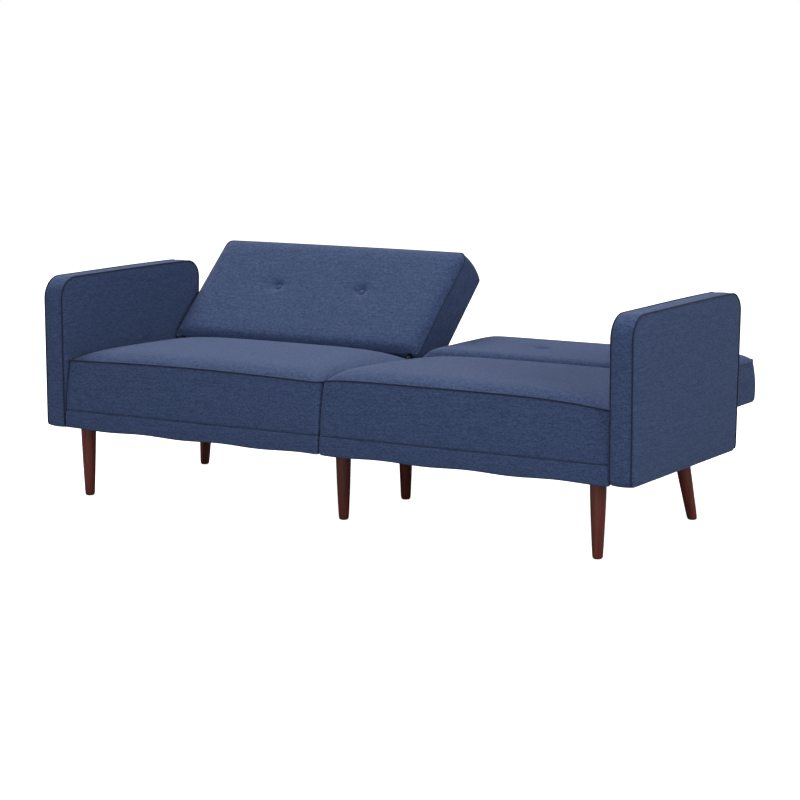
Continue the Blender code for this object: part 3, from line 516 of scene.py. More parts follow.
def rows(length, pitch, fine=(0.0, 0.003, 0.007, 0.012, 0.019, 0.028), near=(), reach=0.032):
    """Places along a side from -1 to 1: fine rows at both ends and near chosen places."""
    start = [distance for distance in fine if distance < length / 4]
    places = list(start)
    while places[-1] < length - start[-1] - pitch * 0.6:
        here = places[-1] - length / 2
        close = any(abs(here - place) < reach for place in near)
        places.append(places[-1] + (pitch * 0.4 if close else pitch))
    stretch = (length - start[-1] - start[-1]) / (places[-1] - start[-1])
    places = [start[-1] + (place - start[-1]) * stretch if place > start[-1] else place
              for place in places]
    places += [length - distance for distance in reversed(start[:-1])]
    return np.array(places) / length * 2 - 1


def lattice_box(a_rows, b_rows, c_rows):
    """The shell of a box as lattice points and quads, each point once."""
    index = {}
    faces = []
    counts = (len(a_rows) - 1, len(b_rows) - 1, len(c_rows) - 1)

    def point(key):
        return index.setdefault(key, len(index))

    for axis in range(3):
        first, second = [other for other in range(3) if other != axis]
        for end in (0, counts[axis]):
            for i in range(counts[first]):
                for j in range(counts[second]):
                    quad = []
                    for di, dj in ((0, 0), (1, 0), (1, 1), (0, 1)):
                        key = [0, 0, 0]
                        key[axis] = end
                        key[first] = i + di
                        key[second] = j + dj
                        quad.append(point(tuple(key)))
                    faces.append(quad)
    keys = np.array(list(index))
    places = np.stack([a_rows[keys[:, 0]], b_rows[keys[:, 1]], c_rows[keys[:, 2]]], axis=1)
    return places, faces, keys


def rounded_plan(x, y, half_x, half_y, radius):
    """Move points of a rectangle so that its corners are round; also say which way is out."""
    over_x = np.maximum(np.abs(x) - (half_x - radius), 0.0)
    over_y = np.maximum(np.abs(y) - (half_y - radius), 0.0)
    corner = (over_x > 0) & (over_y > 0)
    size = np.hypot(over_x, over_y)
    scale = np.where(corner, np.maximum(over_x, over_y) / np.maximum(size, 1e-9), 1.0)
    out_x = np.where(corner, over_x * scale + half_x - radius, np.abs(x)) * np.sign(x)
    out_y = np.where(corner, over_y * scale + half_y - radius, np.abs(y)) * np.sign(y)
    on_x = np.isclose(np.abs(x), half_x)
    on_y = np.isclose(np.abs(y), half_y)
    normal_x = np.where(corner, over_x, on_x * 1.0) * np.sign(x)
    normal_y = np.where(corner, over_y, on_y * 1.0) * np.sign(y)
    length = np.maximum(np.hypot(normal_x, normal_y), 1e-9)
    return out_x, out_y, normal_x / length, normal_y / length


def tube(name, points, radius, closed, steps=8, matrix=None):
    """A round cord along a line of points, with closed ends where the line is open."""
    points = np.array(points, dtype=float)
    ahead = np.roll(points, -1, axis=0) - np.roll(points, 1, axis=0)
    if not closed:
        ahead[0] = points[1] - points[0]
        ahead[-1] = points[-1] - points[-2]
    ahead /= np.linalg.norm(ahead, axis=1)[:, None]
    normal = np.cross(ahead[0], (0.31, 0.17, 0.93))
    verts = []
    for place, along in zip(points, ahead):
        normal = normal - along * np.dot(normal, along)
        normal /= np.linalg.norm(normal)
        other = np.cross(along, normal)
        for step in range(steps):
            turn = 2 * math.pi * step / steps
            verts.append(place + radius * (math.cos(turn) * normal + math.sin(turn) * other))
    count = len(points)
    faces = []
    for ring in range(count if closed else count - 1):
        following = (ring + 1) % count
        for step in range(steps):
            after = (step + 1) % steps
            faces.append((ring * steps + step, ring * steps + after, following * steps + after,
                          following * steps + step))
    if not closed:
        faces.append(tuple(range(steps)))
        faces.append(tuple(reversed(range((count - 1) * steps, count * steps))))
    return object_from_lists(name, verts, faces, matrix)


def even_line(points, pitch, closed=False):
    """The same line with a point every so often."""
    points = np.array(points, dtype=float)
    if closed:
        points = np.vstack([points, points[:1]])
    travel = np.concatenate([[0], np.cumsum(np.linalg.norm(np.diff(points, axis=0), axis=1))])
    count = max(2, int(travel[-1] / pitch))
    stops = np.linspace(0, travel[-1], count + 1)
    line = np.stack([np.interp(stops, travel, points[:, axis]) for axis in range(3)], axis=1)
    return line[:-1] if closed else line


def node_box(name):
    """A node's low and high corners."""
    return [np.array(corner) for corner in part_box(name)]


# ---------------------------------------------------------------- cushions

def cushion_shape(half_x, half_y, height, look):
    """A boxed cushion about its own middle, standing on Z = 0.

    look holds: corner (radii at the foot and at the seam, near ones then far ones), seam (a rise
    for each place on the outline), crown and shoulder (how high the top swells, and how far in
    from the near, far, low-X and high-X seams), spread (how much slower it swells from the sides
    at the far end), bulge (of the same four walls), lean (of the front) and dents (X, Y pairs).
    """
    pitch = sizes().mesh_pitch
    dents = look.get("dents", ())
    a_rows = rows(2 * half_x, pitch, near=[dent[0] for dent in dents])
    b_rows = rows(2 * half_y, pitch, near=[dent[1] for dent in dents])
    c_rows = (rows(height, pitch, (0.0, 0.002, 0.005, 0.009, 0.015)) + 1) / 2
    places, faces, keys = lattice_box(a_rows, b_rows, c_rows)
    a, b, c = places.T
    near_foot, near_seam, far_foot, far_seam = look["corner"]
    radius = np.where(b < 0, near_foot + (near_seam - near_foot) * c ** 2,
                      far_foot + (far_seam - far_foot) * c ** 2)
    x, y, out_x, out_y = rounded_plan(a * half_x, b * half_y, half_x, half_y, radius)
    on_wall = np.isclose(np.abs(a), 1) | np.isclose(np.abs(b), 1)
    top = np.isclose(c, 1)
    seam = height + look["seam"](a, b)
    near, far, low_x, high_x = look["shoulder"]
    widen = look.get("spread", 0.0) * ((b + 1) / 2) ** 2
    swell = look["crown"] * (1 - np.exp(-(half_x + x) / (low_x + widen)))
    swell = swell * (1 - np.exp(-(half_x - x) / (high_x + widen)))
    swell = swell * (1 - np.exp(-(half_y + y) / near)) * (1 - np.exp(-(half_y - y) / far))
    swell = swell - look["crease"] * np.exp(-((np.minimum(half_x - np.abs(x), half_y - np.abs(y))
                                               - 0.004) / 0.004) ** 2) * ~on_wall
    z = np.where(top, seam + swell, c * seam)
    for dent_x, dent_y in dents:
        z = z - np.where(top, tuft(x - dent_x, y - dent_y), 0.0)
    wall = np.sin(np.pi * np.clip(c, 0, 1)) ** 0.6
    near, far, low_x, high_x = look["bulge"]
    beyond = look.get("beyond", 0.0) * np.clip(2 * b - 1, 0, 1)
    bulge = out_x ** 2 * (np.where(out_x > 0, high_x, low_x) + beyond)
    bulge = (bulge + out_y ** 2 * np.where(out_y > 0, far, near)) * wall * on_wall * ~top
    foot = look["tuck"] * np.clip(1 - c * height / 0.006, 0, 1) ** 2 * on_wall
    x = x + out_x * (bulge - foot)
    y = y + out_y * (bulge - foot) + look.get("lean", 0.0) * c * (1 - b) / 2
    verts = np.stack([x, y, z], axis=1)
    ring = seam_ring(keys, len(a_rows) - 1, len(b_rows) - 1, len(c_rows) - 1)
    return verts, faces, ring, len(a_rows) - 1


def tuft(x, y):
    """How deep a button pulls the cloth at a distance from it, with its pull lines along X."""
    size = sizes()
    away = np.hypot(x, y)
    narrow = 0.55 * size.tuft_depth * np.exp(-(away / (0.4 * size.tuft_reach)) ** 2)
    broad = 0.45 * size.tuft_depth * np.exp(-away / size.tuft_reach)
    lines = np.exp(-((y - 0.10 * np.abs(x)) / 0.0055) ** 2) * np.exp(-np.abs(x) / 0.034)
    lines = lines * np.clip(away / 0.014 - 0.6, 0, 1)
    return narrow + broad + 0.0034 * lines


def seam_ring(keys, a_last, b_last, level):
    """The points round the outside of one level, in order."""
    where = {tuple(key): index for index, key in enumerate(keys)}
    ring = [(i, 0) for i in range(a_last)]
    ring += [(a_last, j) for j in range(b_last)]
    ring += [(i, b_last) for i in range(a_last, 0, -1)]
    ring += [(0, j) for j in range(b_last, 0, -1)]
    return [where[(i, j, level)] for i, j in ring]


def welt_line(verts, ring, out, up):
    """The line of a welt: a seam's points moved out and up a little."""
    centre = verts[:, :2].mean(axis=0)
    line = verts[ring].copy()
    ahead = np.roll(line, -1, axis=0) - np.roll(line, 1, axis=0)
    side = np.stack([ahead[:, 1], -ahead[:, 0]], axis=1)
    side /= np.maximum(np.linalg.norm(side, axis=1)[:, None], 1e-9)
    flip = np.sign(((line[:, :2] - centre) * side).sum(axis=1))
    line[:, :2] += side * flip[:, None] * out
    line[:, 2] += up
    return line


def build_cushion(name, nodes, half_x, half_y, height, look, matrix, body, painted_deep_shade=True):
    """A cushion and its welt, placed by a matrix and riding on a body."""
    verts, faces, ring, near_count = cushion_shape(half_x, half_y, height, look)
    cushion = object_from_lists(name, verts, faces, matrix)
    finish_piece(cushion, linen_material(), body, nodes)
    radius = sizes().welt_radius
    line = welt_line(verts, ring, radius * look["welt_out"], radius * 0.2)
    closed = not look.get("open_near", False)
    if not closed:
        line = np.vstack([line[near_count:], line[:1]])
    welt = tube(f"{name}_welt", even_line(line, 0.005, closed), radius, closed, matrix=matrix)
    # The welt's cloth is darkened as painted shade: deeper on the seats, lighter on the backs.
    finish_piece(welt, welt_material(painted_deep_shade), body)
    return cushion


def pivot_matrix(side):
    """Where a back's own axes lie at rest: along its face, from its pivot."""
    joint = JOINTS[f"back_{side}_recline"]
    flat_turn = -math.radians(joint["range_deg"][0])
    place = Matrix.Translation((0, joint["pos_m"][1], joint["pos_m"][2]))
    return place @ Matrix.Rotation(flat_turn, 4, "X")


# ---------------------------------------------------------------- operators

class SOFA_OT_frame(Operator):
    """Give the frame's own pieces, such as rails, springs and hinges, their finishes"""
    bl_idname = "sofa.frame"
    bl_label = "Finish the frame"

    def execute(self, context):
        timber = timber_material()
        painted = metal_material("black_paint", (0.012, 0.012, 0.013), (0.05, 0.05, 0.052), 0.0,
                                 0.5, 0.04)
        plated = metal_material("zinc_plate", (0.42, 0.42, 0.43), (0.70, 0.70, 0.70), 1.0, 0.38)
        wire = metal_material("spring_wire", (0.22, 0.22, 0.23), (0.5, 0.5, 0.5), 1.0, 0.42)
        finishes = {"frame_timber": timber, "black_steel": painted, "zinc_steel": plated,
                    "spring_steel": wire, "navy_linen": linen_material(),
                    "black_lining": lining_material(), "leg_wood": leg_material()}
        slots = {part["node"]: part["material_slot"] for part in RECORD["subparts"]}
        for name, node in frame["nodes"].items():
            node.data.materials.clear()
            node.data.materials.append(finishes[slots[name]])
        return {"FINISHED"}


class SOFA_OT_arms(Operator):
    """Upholster the two slab arms, with a welt round both faces"""
    bl_idname = "sofa.arms"
    bl_label = "Arms"

    def execute(self, context):
        for side in SIDES:
            build_arm(side)
        return {"FINISHED"}


def arm_points(low, high, puff):
    """An arm as a boxed slab: thickness along X, rounded corners in its side view."""
    half = (high - low) / 2
    pitch = sizes().mesh_pitch
    depth = half[1] * 2 - ARM_LEAN
    half_depth = depth / 2
    a_rows = rows(2 * half[0], 0.009, (0.0, 0.003, 0.008, 0.014))
    b_rows = rows(depth, pitch)
    c_rows = rows(2 * half[2], pitch)
    places, faces, keys = lattice_box(a_rows, b_rows, c_rows)
    a, b, c = places.T
    top_radius = np.where(b < 0, ARM_CORNERS["front_top"], ARM_CORNERS["rear_top"])
    radius = np.where(c > 0, top_radius, ARM_CORNERS["bottom"])
    y, z, out_y, out_z = rounded_plan(b * half_depth, c * half[2], half_depth, half[2], radius)
    face = np.isclose(np.abs(a), 1)
    rim = ~face
    outward = a * (low[0] + high[0]) > 0
    swell = puff * (1 - np.abs(b) ** 6) * (1 - np.abs(c) ** 6) * outward
    edge = np.minimum((1 - np.abs(b)) * half_depth, (1 - np.abs(c)) * half[2])
    pinch = 0.0030 * np.exp(-(edge / 0.007) ** 2)
    x = a * half[0] + np.sign(a) * np.where(face, swell - pinch, 0.0)
    band = 0.0025 * (1 - np.abs(a) ** 2.5) * rim
    y = y + out_y * band
    z = z + out_z * band
    z = z - np.clip(c, 0, 1) ** 4 * ARM_REAR_DROP * np.clip(y / half_depth, 0, 1) ** 3
    y = y + ARM_LEAN * (z / (2 * half[2]) + 0.5) * (y / depth + 0.5)
    centre = (low + high) / 2
    verts = np.stack([x + centre[0], y + low[1] + half_depth, z + centre[2]], axis=1)
    return verts, faces, keys, (len(b_rows) - 1, len(c_rows) - 1, len(a_rows) - 1)


def build_arm(side):
    """One arm's cover and its two welts."""
    low, high = node_box(f"arm_cover_{side}")
    verts, faces, keys, (b_last, c_last, a_last) = arm_points(low, high, sizes().arm_puff)
    cover = object_from_lists(f"upholstered_arm_{side}", verts, faces)
    finish_piece(cover, linen_material(), "base", [f"arm_cover_{side}"])
    where = {tuple(key): index for index, key in enumerate(keys)}
    radius = sizes().welt_radius
    # The arms' welts take the deeper painted shade, standing in for the shadow along their seams.
    painted_shade_welt_cloth = welt_material()
    for level, name in ((0, "a"), (a_last, "b")):
        line = [(0, j) for j in range(0, c_last)] + [(i, c_last) for i in range(b_last)]
        line += [(b_last, j) for j in range(c_last, -1, -1)]
        points = verts[[where[(level, i, j)] for i, j in line]].copy()
        centre = np.array([(low + high)[0] / 2, *points.mean(axis=0)[1:]])
        away = points - centre
        away[:, 0] = np.sign(away[:, 0]) * np.linalg.norm(away[:, 1:], axis=1) * 0.8
        points += away / np.linalg.norm(away, axis=1)[:, None] * radius * 0.4
        welt = tube(f"arm_welt_{side}_{name}", even_line(points, 0.006), radius, False)
        finish_piece(welt, painted_shade_welt_cloth, "base")


class SOFA_OT_seats(Operator):
    """Upholster the two seat cushions, crowned and welted"""
    bl_idname = "sofa.seats"
    bl_label = "Seat cushions"

    def execute(self, context):
        size = sizes()
        for side in SIDES:
            low, high = node_box(f"seat_cushion_{side}")
            half = (high - low) / 2
            bulge = (0.0035, 0.002, 0.0024, 0.001) if side == "right" else (0.0035, 0.002, 0.001,
                                                                           0.0024)
            sides = (0.040, 0.022)[::-sign_of(side)]
            look = {"corner": (0.008, 0.020, 0.008, 0.020), "seam": seat_seam(side),
                    "crown": size.seat_crown, "shoulder": (0.030, 0.028, *sides),
                    "spread": 0.050, "crease": 0.0018, "bulge": bulge, "tuck": 0.0025,
                    "lean": SEAT_LEAN, "welt_out": 0.5}
            centre = Matrix.Translation(((low[0] + high[0]) / 2, (low[1] + high[1]) / 2, low[2]))
            # The seats' welts take the deeper painted shade, build_cushion's default.
            build_cushion(f"upholstered_seat_{side}", [f"seat_cushion_{side}"], half[0], half[1],
                          SEAT_SEAM_HEIGHT - low[2], look, centre, "base")
        return {"FINISHED"}


def seat_seam(side):
    """How a seat's seam rises and droops: in front by its own droops, behind at its corners."""
    front, droops = SEAT_FRONT_SEAMS[side]
    toward_arm = SIDES[side]

    def rise(a, b):
        split, arm = [drop * np.abs(a) ** power for drop, power in droops]
        ahead = front - np.where(a * toward_arm > 0, arm, split)
        behind = SEAT_REAR_RISE - SEAT_REAR_DROOP * np.abs(a) ** 6
        share = (b + 1) / 2
        return ahead * (1 - share) + behind * share + 0.004 * (1 - b * b) * np.abs(a) ** 6

    return rise


class SOFA_OT_bands(Operator):
    """Upholster the band under each seat's front"""
    bl_idname = "sofa.bands"
    bl_label = "Front bands"

    def execute(self, context):
        for side in SIDES:
            low, high = node_box(f"front_band_{side}")
            half = (high - low) / 2
            a_rows = rows(2 * half[0], 0.012, (0.0, 0.001, 0.003, 0.006, 0.010, 0.016))
            b_rows = rows(2 * half[1], 0.003, (0.0, 0.001, 0.0025, 0.0045))
            c_rows = rows(2 * half[2], 0.005, (0.0, 0.001, 0.0025, 0.0045, 0.007))
            places, faces, _ = lattice_box(a_rows, b_rows, c_rows)
            a, b, c = places.T
            x, y, out_x, out_y = rounded_plan(a * half[0], b * half[1], half[0], half[1], 0.006)
            from_end = (1 - np.abs(c)) * half[2]
            roll = 0.0022 * np.clip(1 - from_end / 0.004, 0, 1) ** 2
            sag = 0.0018 * np.clip(-c, 0, 1) ** 4 * np.sin(3.3 * np.pi * a + sign_of(side))
            swell = 0.0015 * (1 - c ** 4)
            x = x + out_x * (swell - roll)
            y = y + out_y * (swell - roll)
            z = c * half[2] + sag
            band = object_from_lists(f"upholstered_band_{side}",
                                     np.stack([x, y, z], axis=1) + (low + high) / 2, faces)
            finish_piece(band, linen_material(), "base", [f"front_band_{side}"])
        return {"FINISHED"}


def sign_of(side):
    """-1 on the left and 1 on the right."""
    return SIDES[side]


class SOFA_OT_backs(Operator):
    """Upholster the two backs, crowned, welted and pulled in at their buttons"""
    bl_idname = "sofa.backs"
    bl_label = "Backs"

    def execute(self, context):
        size = sizes()
        for side in SIDES:
            place = pivot_matrix(side)
            low, high = flat_box(f"back_cushion_{side}", place)
            half = (high - low) / 2
            face = high[2] - BACK_CAD_CROWN + BACK_SEAM_RISE
            centre = (low + high) / 2
            dents = []
            for letter in "ab":
                button_low, button_high = flat_box(f"back_button_{side}_{letter}", place)
                spot = (button_low + button_high) / 2 - centre
                dents.append((spot[0], spot[1]))
            look = {"corner": (0.012, 0.014, 0.016, 0.034), "seam": back_seam,
                    "crown": size.back_crown, "shoulder": (0.010, 0.016, 0.016, 0.016),
                    "crease": 0.0018,
                    "bulge": (0.0, 0.009, 0.0005, 0.0005), "beyond": 0.002, "tuck": 0.006,
                    "dents": dents, "welt_out": -0.4, "open_near": True}
            matrix = place @ Matrix.Translation((centre[0], centre[1], low[2]))
            # The backs' welts take the lighter painted shade.
            back = build_cushion(f"upholstered_back_{side}", [f"back_cushion_{side}"], half[0],
                                 half[1], face - low[2], look, matrix, f"back_{side}",
                                 painted_deep_shade=False)
            cut_hinge_slots(back, side, place, (low[2], high[2]))
            build_rear_panel(side, place)
        return {"FINISHED"}


def cut_hinge_slots(back, side, place, levels):
    """Open a slot at each end of a back for its hinge, below the face."""
    for end in ENDS:
        low, high = flat_box(f"hinge_pin_{side}_{end}", place)
        corners, faces, _ = lattice_box(*[np.array([0.0, 1.0])] * 3)
        start = np.array([(low[0] + high[0]) / 2 - SLOT_WIDTH / 2, -SLOT_LENGTH / 3,
                          levels[0] - SLOT_LENGTH])
        stop = np.array([start[0] + SLOT_WIDTH, SLOT_LENGTH, SLOT_TOP])
        verts = start + corners * (stop - start)
        cutter = object_from_lists(f"slot_{side}_{end}", verts, faces, place)
        cut = back.modifiers.new("slot", "BOOLEAN")
        cut.object = cutter
        cut.operation = "DIFFERENCE"
        cut.solver = "MANIFOLD"
        bpy.context.view_layer.update()
        with bpy.context.temp_override(object=back, active_object=back):
            bpy.ops.object.modifier_apply(modifier=cut.name)
        bpy.data.objects.remove(cutter)


def build_rear_panel(side, place):
    """The cloth panel, welted all round, that closes the rear of a back."""
    low, high = flat_box(f"back_panel_{side}", place)
    centre = (low + high) / 2
    half = (high - low) / 2
    a_rows = rows(2 * half[0], 0.025)
    b_rows = rows(2 * half[1], 0.020)
    places, faces, keys = lattice_box(a_rows, b_rows, np.array([-1.0, 1.0]))
    a, b, c = places.T
    x, y, _, _ = rounded_plan(a * half[0], b * half[1], half[0], half[1], 0.012)
    slack = (1 - a ** 4) * (1 - b ** 4)
    ripple = 0.0005 * np.sin(19 * a + 7 * b) * slack
    z = np.where(c < 0, -0.0030 - 0.0015 * slack + ripple, 0.0015)
    matrix = place @ Matrix.Translation((centre[0], centre[1], low[2]))
    panel = object_from_lists(f"rear_panel_{side}", np.stack([x, y, z], axis=1), faces, matrix)
    finish_piece(panel, linen_material(), f"back_{side}", [f"back_panel_{side}"])
    ring = seam_ring(keys, len(a_rows) - 1, len(b_rows) - 1, 0)
    line = even_line(welt_line(np.stack([x, y, z], axis=1), ring, 0.0, 0.001), 0.008, closed=True)
    welt = tube(f"rear_panel_{side}_welt", line, sizes().welt_radius * 0.8, True, matrix=matrix)
    # The panel's welt takes the lighter painted shade.
    finish_piece(welt, welt_material(False), f"back_{side}")


class SOFA_OT_linings(Operator):
    """Wrap the rear rails in cloth and stretch the dust covers under the seats"""
    bl_idname = "sofa.linings"
    bl_label = "Linings"

    def execute(self, context):
        for side in SIDES:
            wrap_rear_rail(side)
            stretch_dust_cover(side)
        return {"FINISHED"}


def wrap_rear_rail(side):
    """Cloth pulled round the rear rail and over the ends of the side rails."""
    corners = [np.array(corner) for node in ("inner_rail", "outer_rail", "rear_rail")
               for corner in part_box(f"{node}_{side}")]
    low = np.min(corners, axis=0)
    high = np.max(corners, axis=0)
    low[1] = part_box(f"rear_rail_{side}")[0][1]
    low -= (-0.0006, 0.0012, 0.0008)
    high += (-0.0006, 0.0022, 0.0012)
    half = (high - low) / 2
    edge = (0.0, 0.0008, 0.002, 0.004)
    places, faces, _ = lattice_box(rows(2 * half[0], 0.014, edge), rows(2 * half[1], 0.005, edge),
                                   rows(2 * half[2], 0.006, edge))
    a, b, c = places.T
    y, z, out_y, out_z = rounded_plan(b * half[1], c * half[2], half[1], half[2], 0.004)
    pull = 0.0005 * np.sin(23 * a) * np.cos(2.2 * c)
    verts = np.stack([a * half[0], y + out_y * pull, z + out_z * pull], axis=1) + (low + high) / 2
    cover = object_from_lists(f"rear_rail_cover_{side}", verts, faces)
    finish_piece(cover, linen_material(), "base", [f"rear_rail_{side}"])


def stretch_dust_cover(side):
    """A black lining stretched between the rails, sagging a little in the middle."""
    low, high = node_box(f"dust_cover_{side}")
    width, length = (high - low)[:2]
    a_steps, b_steps = 60, 34
    verts = []
    for j in range(b_steps + 1):
        for i in range(a_steps + 1):
            a = 2 * i / a_steps - 1
            b = 2 * j / b_steps - 1
            edge = 1 - max(abs(a), abs(b))
            pull = 0.0006 * math.sin(34 * a) * math.sin(21 * b) * math.exp(-edge / 0.15)
            sag = DUST_COVER_SAG * (1 - a * a) * (1 - b * b)
            verts.append((low[0] + width * (a + 1) / 2, low[1] + length * (b + 1) / 2,
                          high[2] - sag + pull * (edge > 0)))
    row = a_steps + 1
    faces = [(j * row + i, j * row + i + 1, (j + 1) * row + i + 1, (j + 1) * row + i)
             for j in range(b_steps) for i in range(a_steps)]
    sheet = object_from_lists(f"dust_sheet_{side}", verts, faces)
    finish_piece(sheet, lining_material(), "base", [f"dust_cover_{side}"])


def back_seam(a, b):
    """How a back's seam rises between its corners."""
    return 0.002 * (1 - np.abs(a) ** 3) * np.abs(b) ** 4 + 0.0015 * (1 - b * b) * np.abs(a) ** 4


def flat_box(node, place):
    """A node's corners in a back's own axes."""
    to_flat = np.array(place.inverted())
    verts = np.array([tuple(vert.co) for vert in frame["nodes"][node].data.vertices])
    verts = verts @ to_flat[:3, :3].T + to_flat[:3, 3]
    return verts.min(axis=0), verts.max(axis=0)


def face_level(name, place, spot):
    """How high a back's face lies, in its own axes, at a spot."""
    piece = bpy.data.objects[name]
    to_flat = np.array(place.inverted() @ piece.matrix_world)
    verts = np.array([tuple(vert.co) for vert in piece.data.vertices])
    verts = verts @ to_flat[:3, :3].T + to_flat[:3, 3]
    near = np.hypot(verts[:, 0] - spot[0], verts[:, 1] - spot[1])
    top = verts[:, 2] > (verts[:, 2].min() + verts[:, 2].max()) / 2
    return verts[np.argmin(np.where(top, near, 1.0)), 2]


class SOFA_OT_buttons(Operator):
    """Cover the four tufting buttons"""
    bl_idname = "sofa.buttons"
    bl_label = "Buttons"

    def execute(self, context):
        size = sizes()
        for side in SIDES:
            place = pivot_matrix(side)
            for letter in "ab":
                node = f"back_button_{side}_{letter}"
                low, high = flat_box(node, place)
                centre = (low + high) / 2
                radius = (high[0] - low[0]) / 2
                height = size.button_height
                seat = face_level(f"upholstered_back_{side}", place, centre) - BUTTON_SINK
                profile = [(radius * 0.55, -0.004), (radius * 0.9, -0.002), (radius, 0.001)]
                profile += [(radius * math.cos(turn), 0.001 + (height - 0.001) * math.sin(turn))
                            for turn in np.linspace(0.12, math.pi / 2 - 0.08, 9)]
                steps = BUTTON_STEPS
                turns = [2 * math.pi * s / steps for s in range(steps)]
                verts = [(r * math.cos(turn), r * math.sin(turn), z)
                         for r, z in profile for turn in turns]
                verts += [(0, 0, profile[0][1]), (0, 0, height + 0.0002)]
                faces = [(i * steps + s, i * steps + (s + 1) % steps,
                          (i + 1) * steps + (s + 1) % steps, (i + 1) * steps + s)
                         for i in range(len(profile) - 1) for s in range(steps)]
                last = (len(profile) - 1) * steps
                bottom = len(profile) * steps
                faces += [((s + 1) % steps, s, bottom) for s in range(steps)]
                faces += [(last + s, last + (s + 1) % steps, bottom + 1) for s in range(steps)]
                matrix = place @ Matrix.Translation((centre[0], centre[1], seat))
                piece = object_from_lists(f"covered_{node}", verts, faces, matrix)
                finish_piece(piece, linen_material(), f"back_{side}", [node])
        return {"FINISHED"}


class SOFA_OT_legs(Operator):
    """Turn the six tapered legs"""
    bl_idname = "sofa.legs"
    bl_label = "Legs"

    def execute(self, context):
        wood = leg_material()
        steps = sizes().leg_steps
        for name in LEGS:
            node = frame["nodes"][f"leg_{name}"]
            points = np.array([tuple(vert.co) for vert in node.data.vertices])
            top = points[points[:, 2] > points[:, 2].max() - 0.001]
            foot = points[points[:, 2] < points[:, 2].min() + 0.001]
            top_radius = (top[:, 0].max() - top[:, 0].min()) / 2
            start = (foot.min(axis=0) + foot.max(axis=0)) / 2
            end = (top.min(axis=0) + top.max(axis=0)) / 2
            height = end[2] - start[2]
            profile = [(FOOT_RADIUS - 0.0055, 0.0), (FOOT_RADIUS - 0.0030, 0.0008),
                       (FOOT_RADIUS - 0.0010, 0.0030), (FOOT_RADIUS, 0.0065)]
            for share in np.linspace(0.08, 1.0, 14):
                taper = FOOT_RADIUS + (top_radius - FOOT_RADIUS) * share
                profile.append((taper + 0.0006 * math.sin(math.pi * share), height * share))
            verts = []
            for radius, z in profile:
                centre = start + (end - start) * z / height
                for step in range(steps):
                    turn = 2 * math.pi * step / steps
                    verts.append((centre[0] + radius * math.cos(turn),
                                  centre[1] + radius * math.sin(turn), start[2] + z))
            faces = [(i * steps + s, i * steps + (s + 1) % steps, (i + 1) * steps + (s + 1) % steps,
                      (i + 1) * steps + s) for i in range(len(profile) - 1) for s in range(steps)]
            faces.append(tuple(reversed(range(steps))))
            last = (len(profile) - 1) * steps
            faces.append(tuple(range(last, last + steps)))
            leg = object_from_lists(f"turned_leg_{name}", verts, faces)
            finish_piece(leg, wood, "base", [f"leg_{name}"])
        return {"FINISHED"}


class SOFA_OT_stage(Operator):
    """Set the white floor, the soft light and the camera"""
    bl_idname = "sofa.stage"
    bl_label = "Stage"

    def execute(self, context):
        scene = context.scene
        scene.view_settings.view_transform = "Standard"
        mesh = bpy.data.meshes.new("studio_floor")
        solid = bmesh.new()
        bmesh.ops.create_grid(solid, x_segments=2, y_segments=2, size=FLOOR_SIZE)
        solid.to_mesh(mesh)
        solid.free()
        floor = bpy.data.objects.new("studio_floor", mesh)
        floor.location = (0, 0, CAD_BOX[0][2] - FLOOR_GAP)
        scene.collection.objects.link(floor)
        mesh.materials.append(floor_material())

        scene.world = studio_world()
        for name, place, size, power in LAMPS:
            add_area(name, place, LAMP_TARGET, size, power)

        camera_data = bpy.data.cameras.new("camera")
        camera_data.lens = CAMERA_LENS
        camera = bpy.data.objects.new("camera", camera_data)
        camera.location = CAMERA_PLACE
        camera.rotation_euler = [math.radians(turn) for turn in CAMERA_TURN_DEG]
        scene.collection.objects.link(camera)
        scene.camera = camera
        return {"FINISHED"}


def floor_material():
    """A studio floor that is plain white to look at and throws little light back up."""
    material, tree, shader = new_material("studio_floor", Roughness=0.9, Specular_IOR_Level=0.1)
    seen = tree.nodes.new("ShaderNodeLightPath").outputs["Is Camera Ray"]
    tone = tuple(colours().floor)
    shade = tuple(0.45 * value for value in tone)
    tree.links.new(mix_colour(tree, seen, (*shade, 1.0), (*tone, 1.0)), shader.inputs["Base Color"])
    glow = mix_colour(tree, seen, (0, 0, 0, 1), (1, 1, 1, 1))
    tree.links.new(glow, shader.inputs["Emission Color"])
    shader.inputs["Emission Strength"].default_value = 1.0
    return material


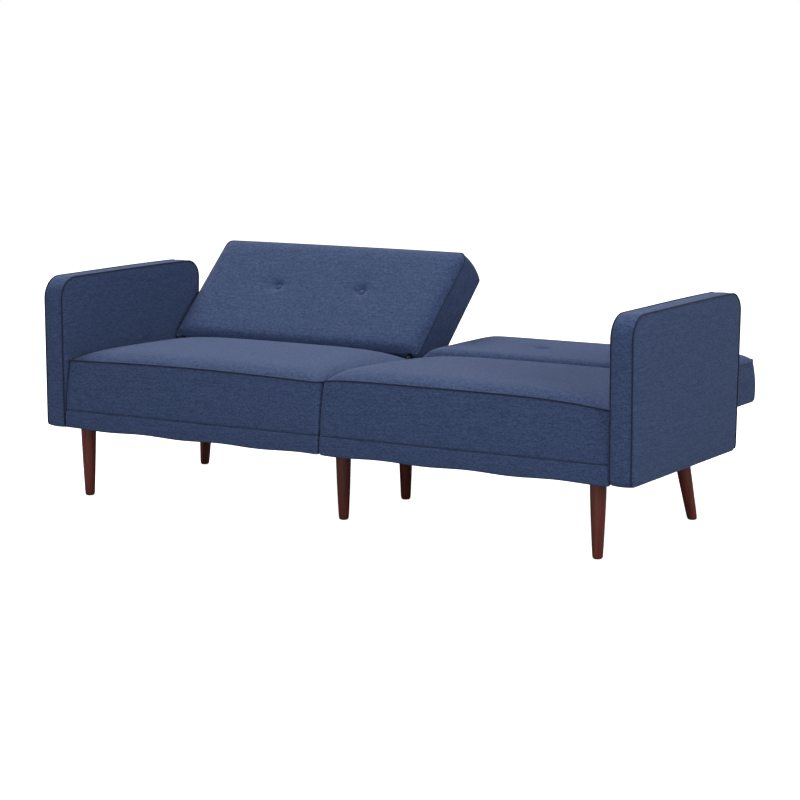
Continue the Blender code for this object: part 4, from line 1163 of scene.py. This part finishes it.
def studio_world():
    """White to look at, softer as a light."""
    world = bpy.data.worlds.new("studio")
    world.use_nodes = True
    tree = world.node_tree
    seen = tree.nodes.new("ShaderNodeLightPath").outputs["Is Camera Ray"]
    background = tree.nodes["Background"]
    tree.links.new(mix_colour(tree, seen, (0.10, 0.105, 0.115, 1), (1, 1, 1, 1)),
                   background.inputs["Color"])
    background.inputs["Strength"].default_value = 1.0
    return world


def add_area(name, place, target, size, power):
    """A square soft light that faces a point."""
    data = bpy.data.lights.new(name, "AREA")
    data.size = size
    data.energy = power
    light = bpy.data.objects.new(name, data)
    light.location = place
    aim = Vector(target) - Vector(place)
    light.rotation_euler = aim.to_track_quat("-Z", "Y").to_euler()
    bpy.context.scene.collection.objects.link(light)
    return light


# ---------------------------------------------------------------- panel and registration

OPERATORS = (SOFA_OT_frame, SOFA_OT_arms, SOFA_OT_seats, SOFA_OT_bands, SOFA_OT_backs,
             SOFA_OT_linings, SOFA_OT_buttons, SOFA_OT_legs, SOFA_OT_stage)


class SOFA_PT_panel(Panel):
    """The upholstery's sizes, colours and steps"""
    bl_label = "Sofa bed"
    bl_idname = "SOFA_PT_panel"
    bl_space_type = "VIEW_3D"
    bl_region_type = "UI"
    bl_category = "Sofa"

    def draw(self, context):
        for settings in (context.scene.sofa_sizes, context.scene.sofa_colours):
            column = self.layout.column(align=True)
            for key in settings.bl_rna.properties.keys():
                if key not in {"rna_type", "name"}:
                    column.prop(settings, key)
        for operator in OPERATORS:
            self.layout.operator(operator.bl_idname)


CLASSES = (SofaSizes, SofaColours) + OPERATORS + (SOFA_PT_panel,)


def register():
    """Register the classes and the scene's settings."""
    for item in CLASSES:
        bpy.utils.register_class(item)
    bpy.types.Scene.sofa_sizes = PointerProperty(type=SofaSizes)
    bpy.types.Scene.sofa_colours = PointerProperty(type=SofaColours)


def unregister():
    """Take the classes and the settings away again."""
    del bpy.types.Scene.sofa_colours
    del bpy.types.Scene.sofa_sizes
    for item in reversed(CLASSES):
        bpy.utils.unregister_class(item)


def main():
    """Upholster the sofa bed, step by step."""
    register()
    bpy.ops.sofa.frame()
    bpy.ops.sofa.arms()
    bpy.ops.sofa.seats()
    bpy.ops.sofa.bands()
    bpy.ops.sofa.backs()
    bpy.ops.sofa.linings()
    bpy.ops.sofa.buttons()
    bpy.ops.sofa.legs()
    bpy.ops.sofa.stage()


if __name__ == "__main__":
    main()
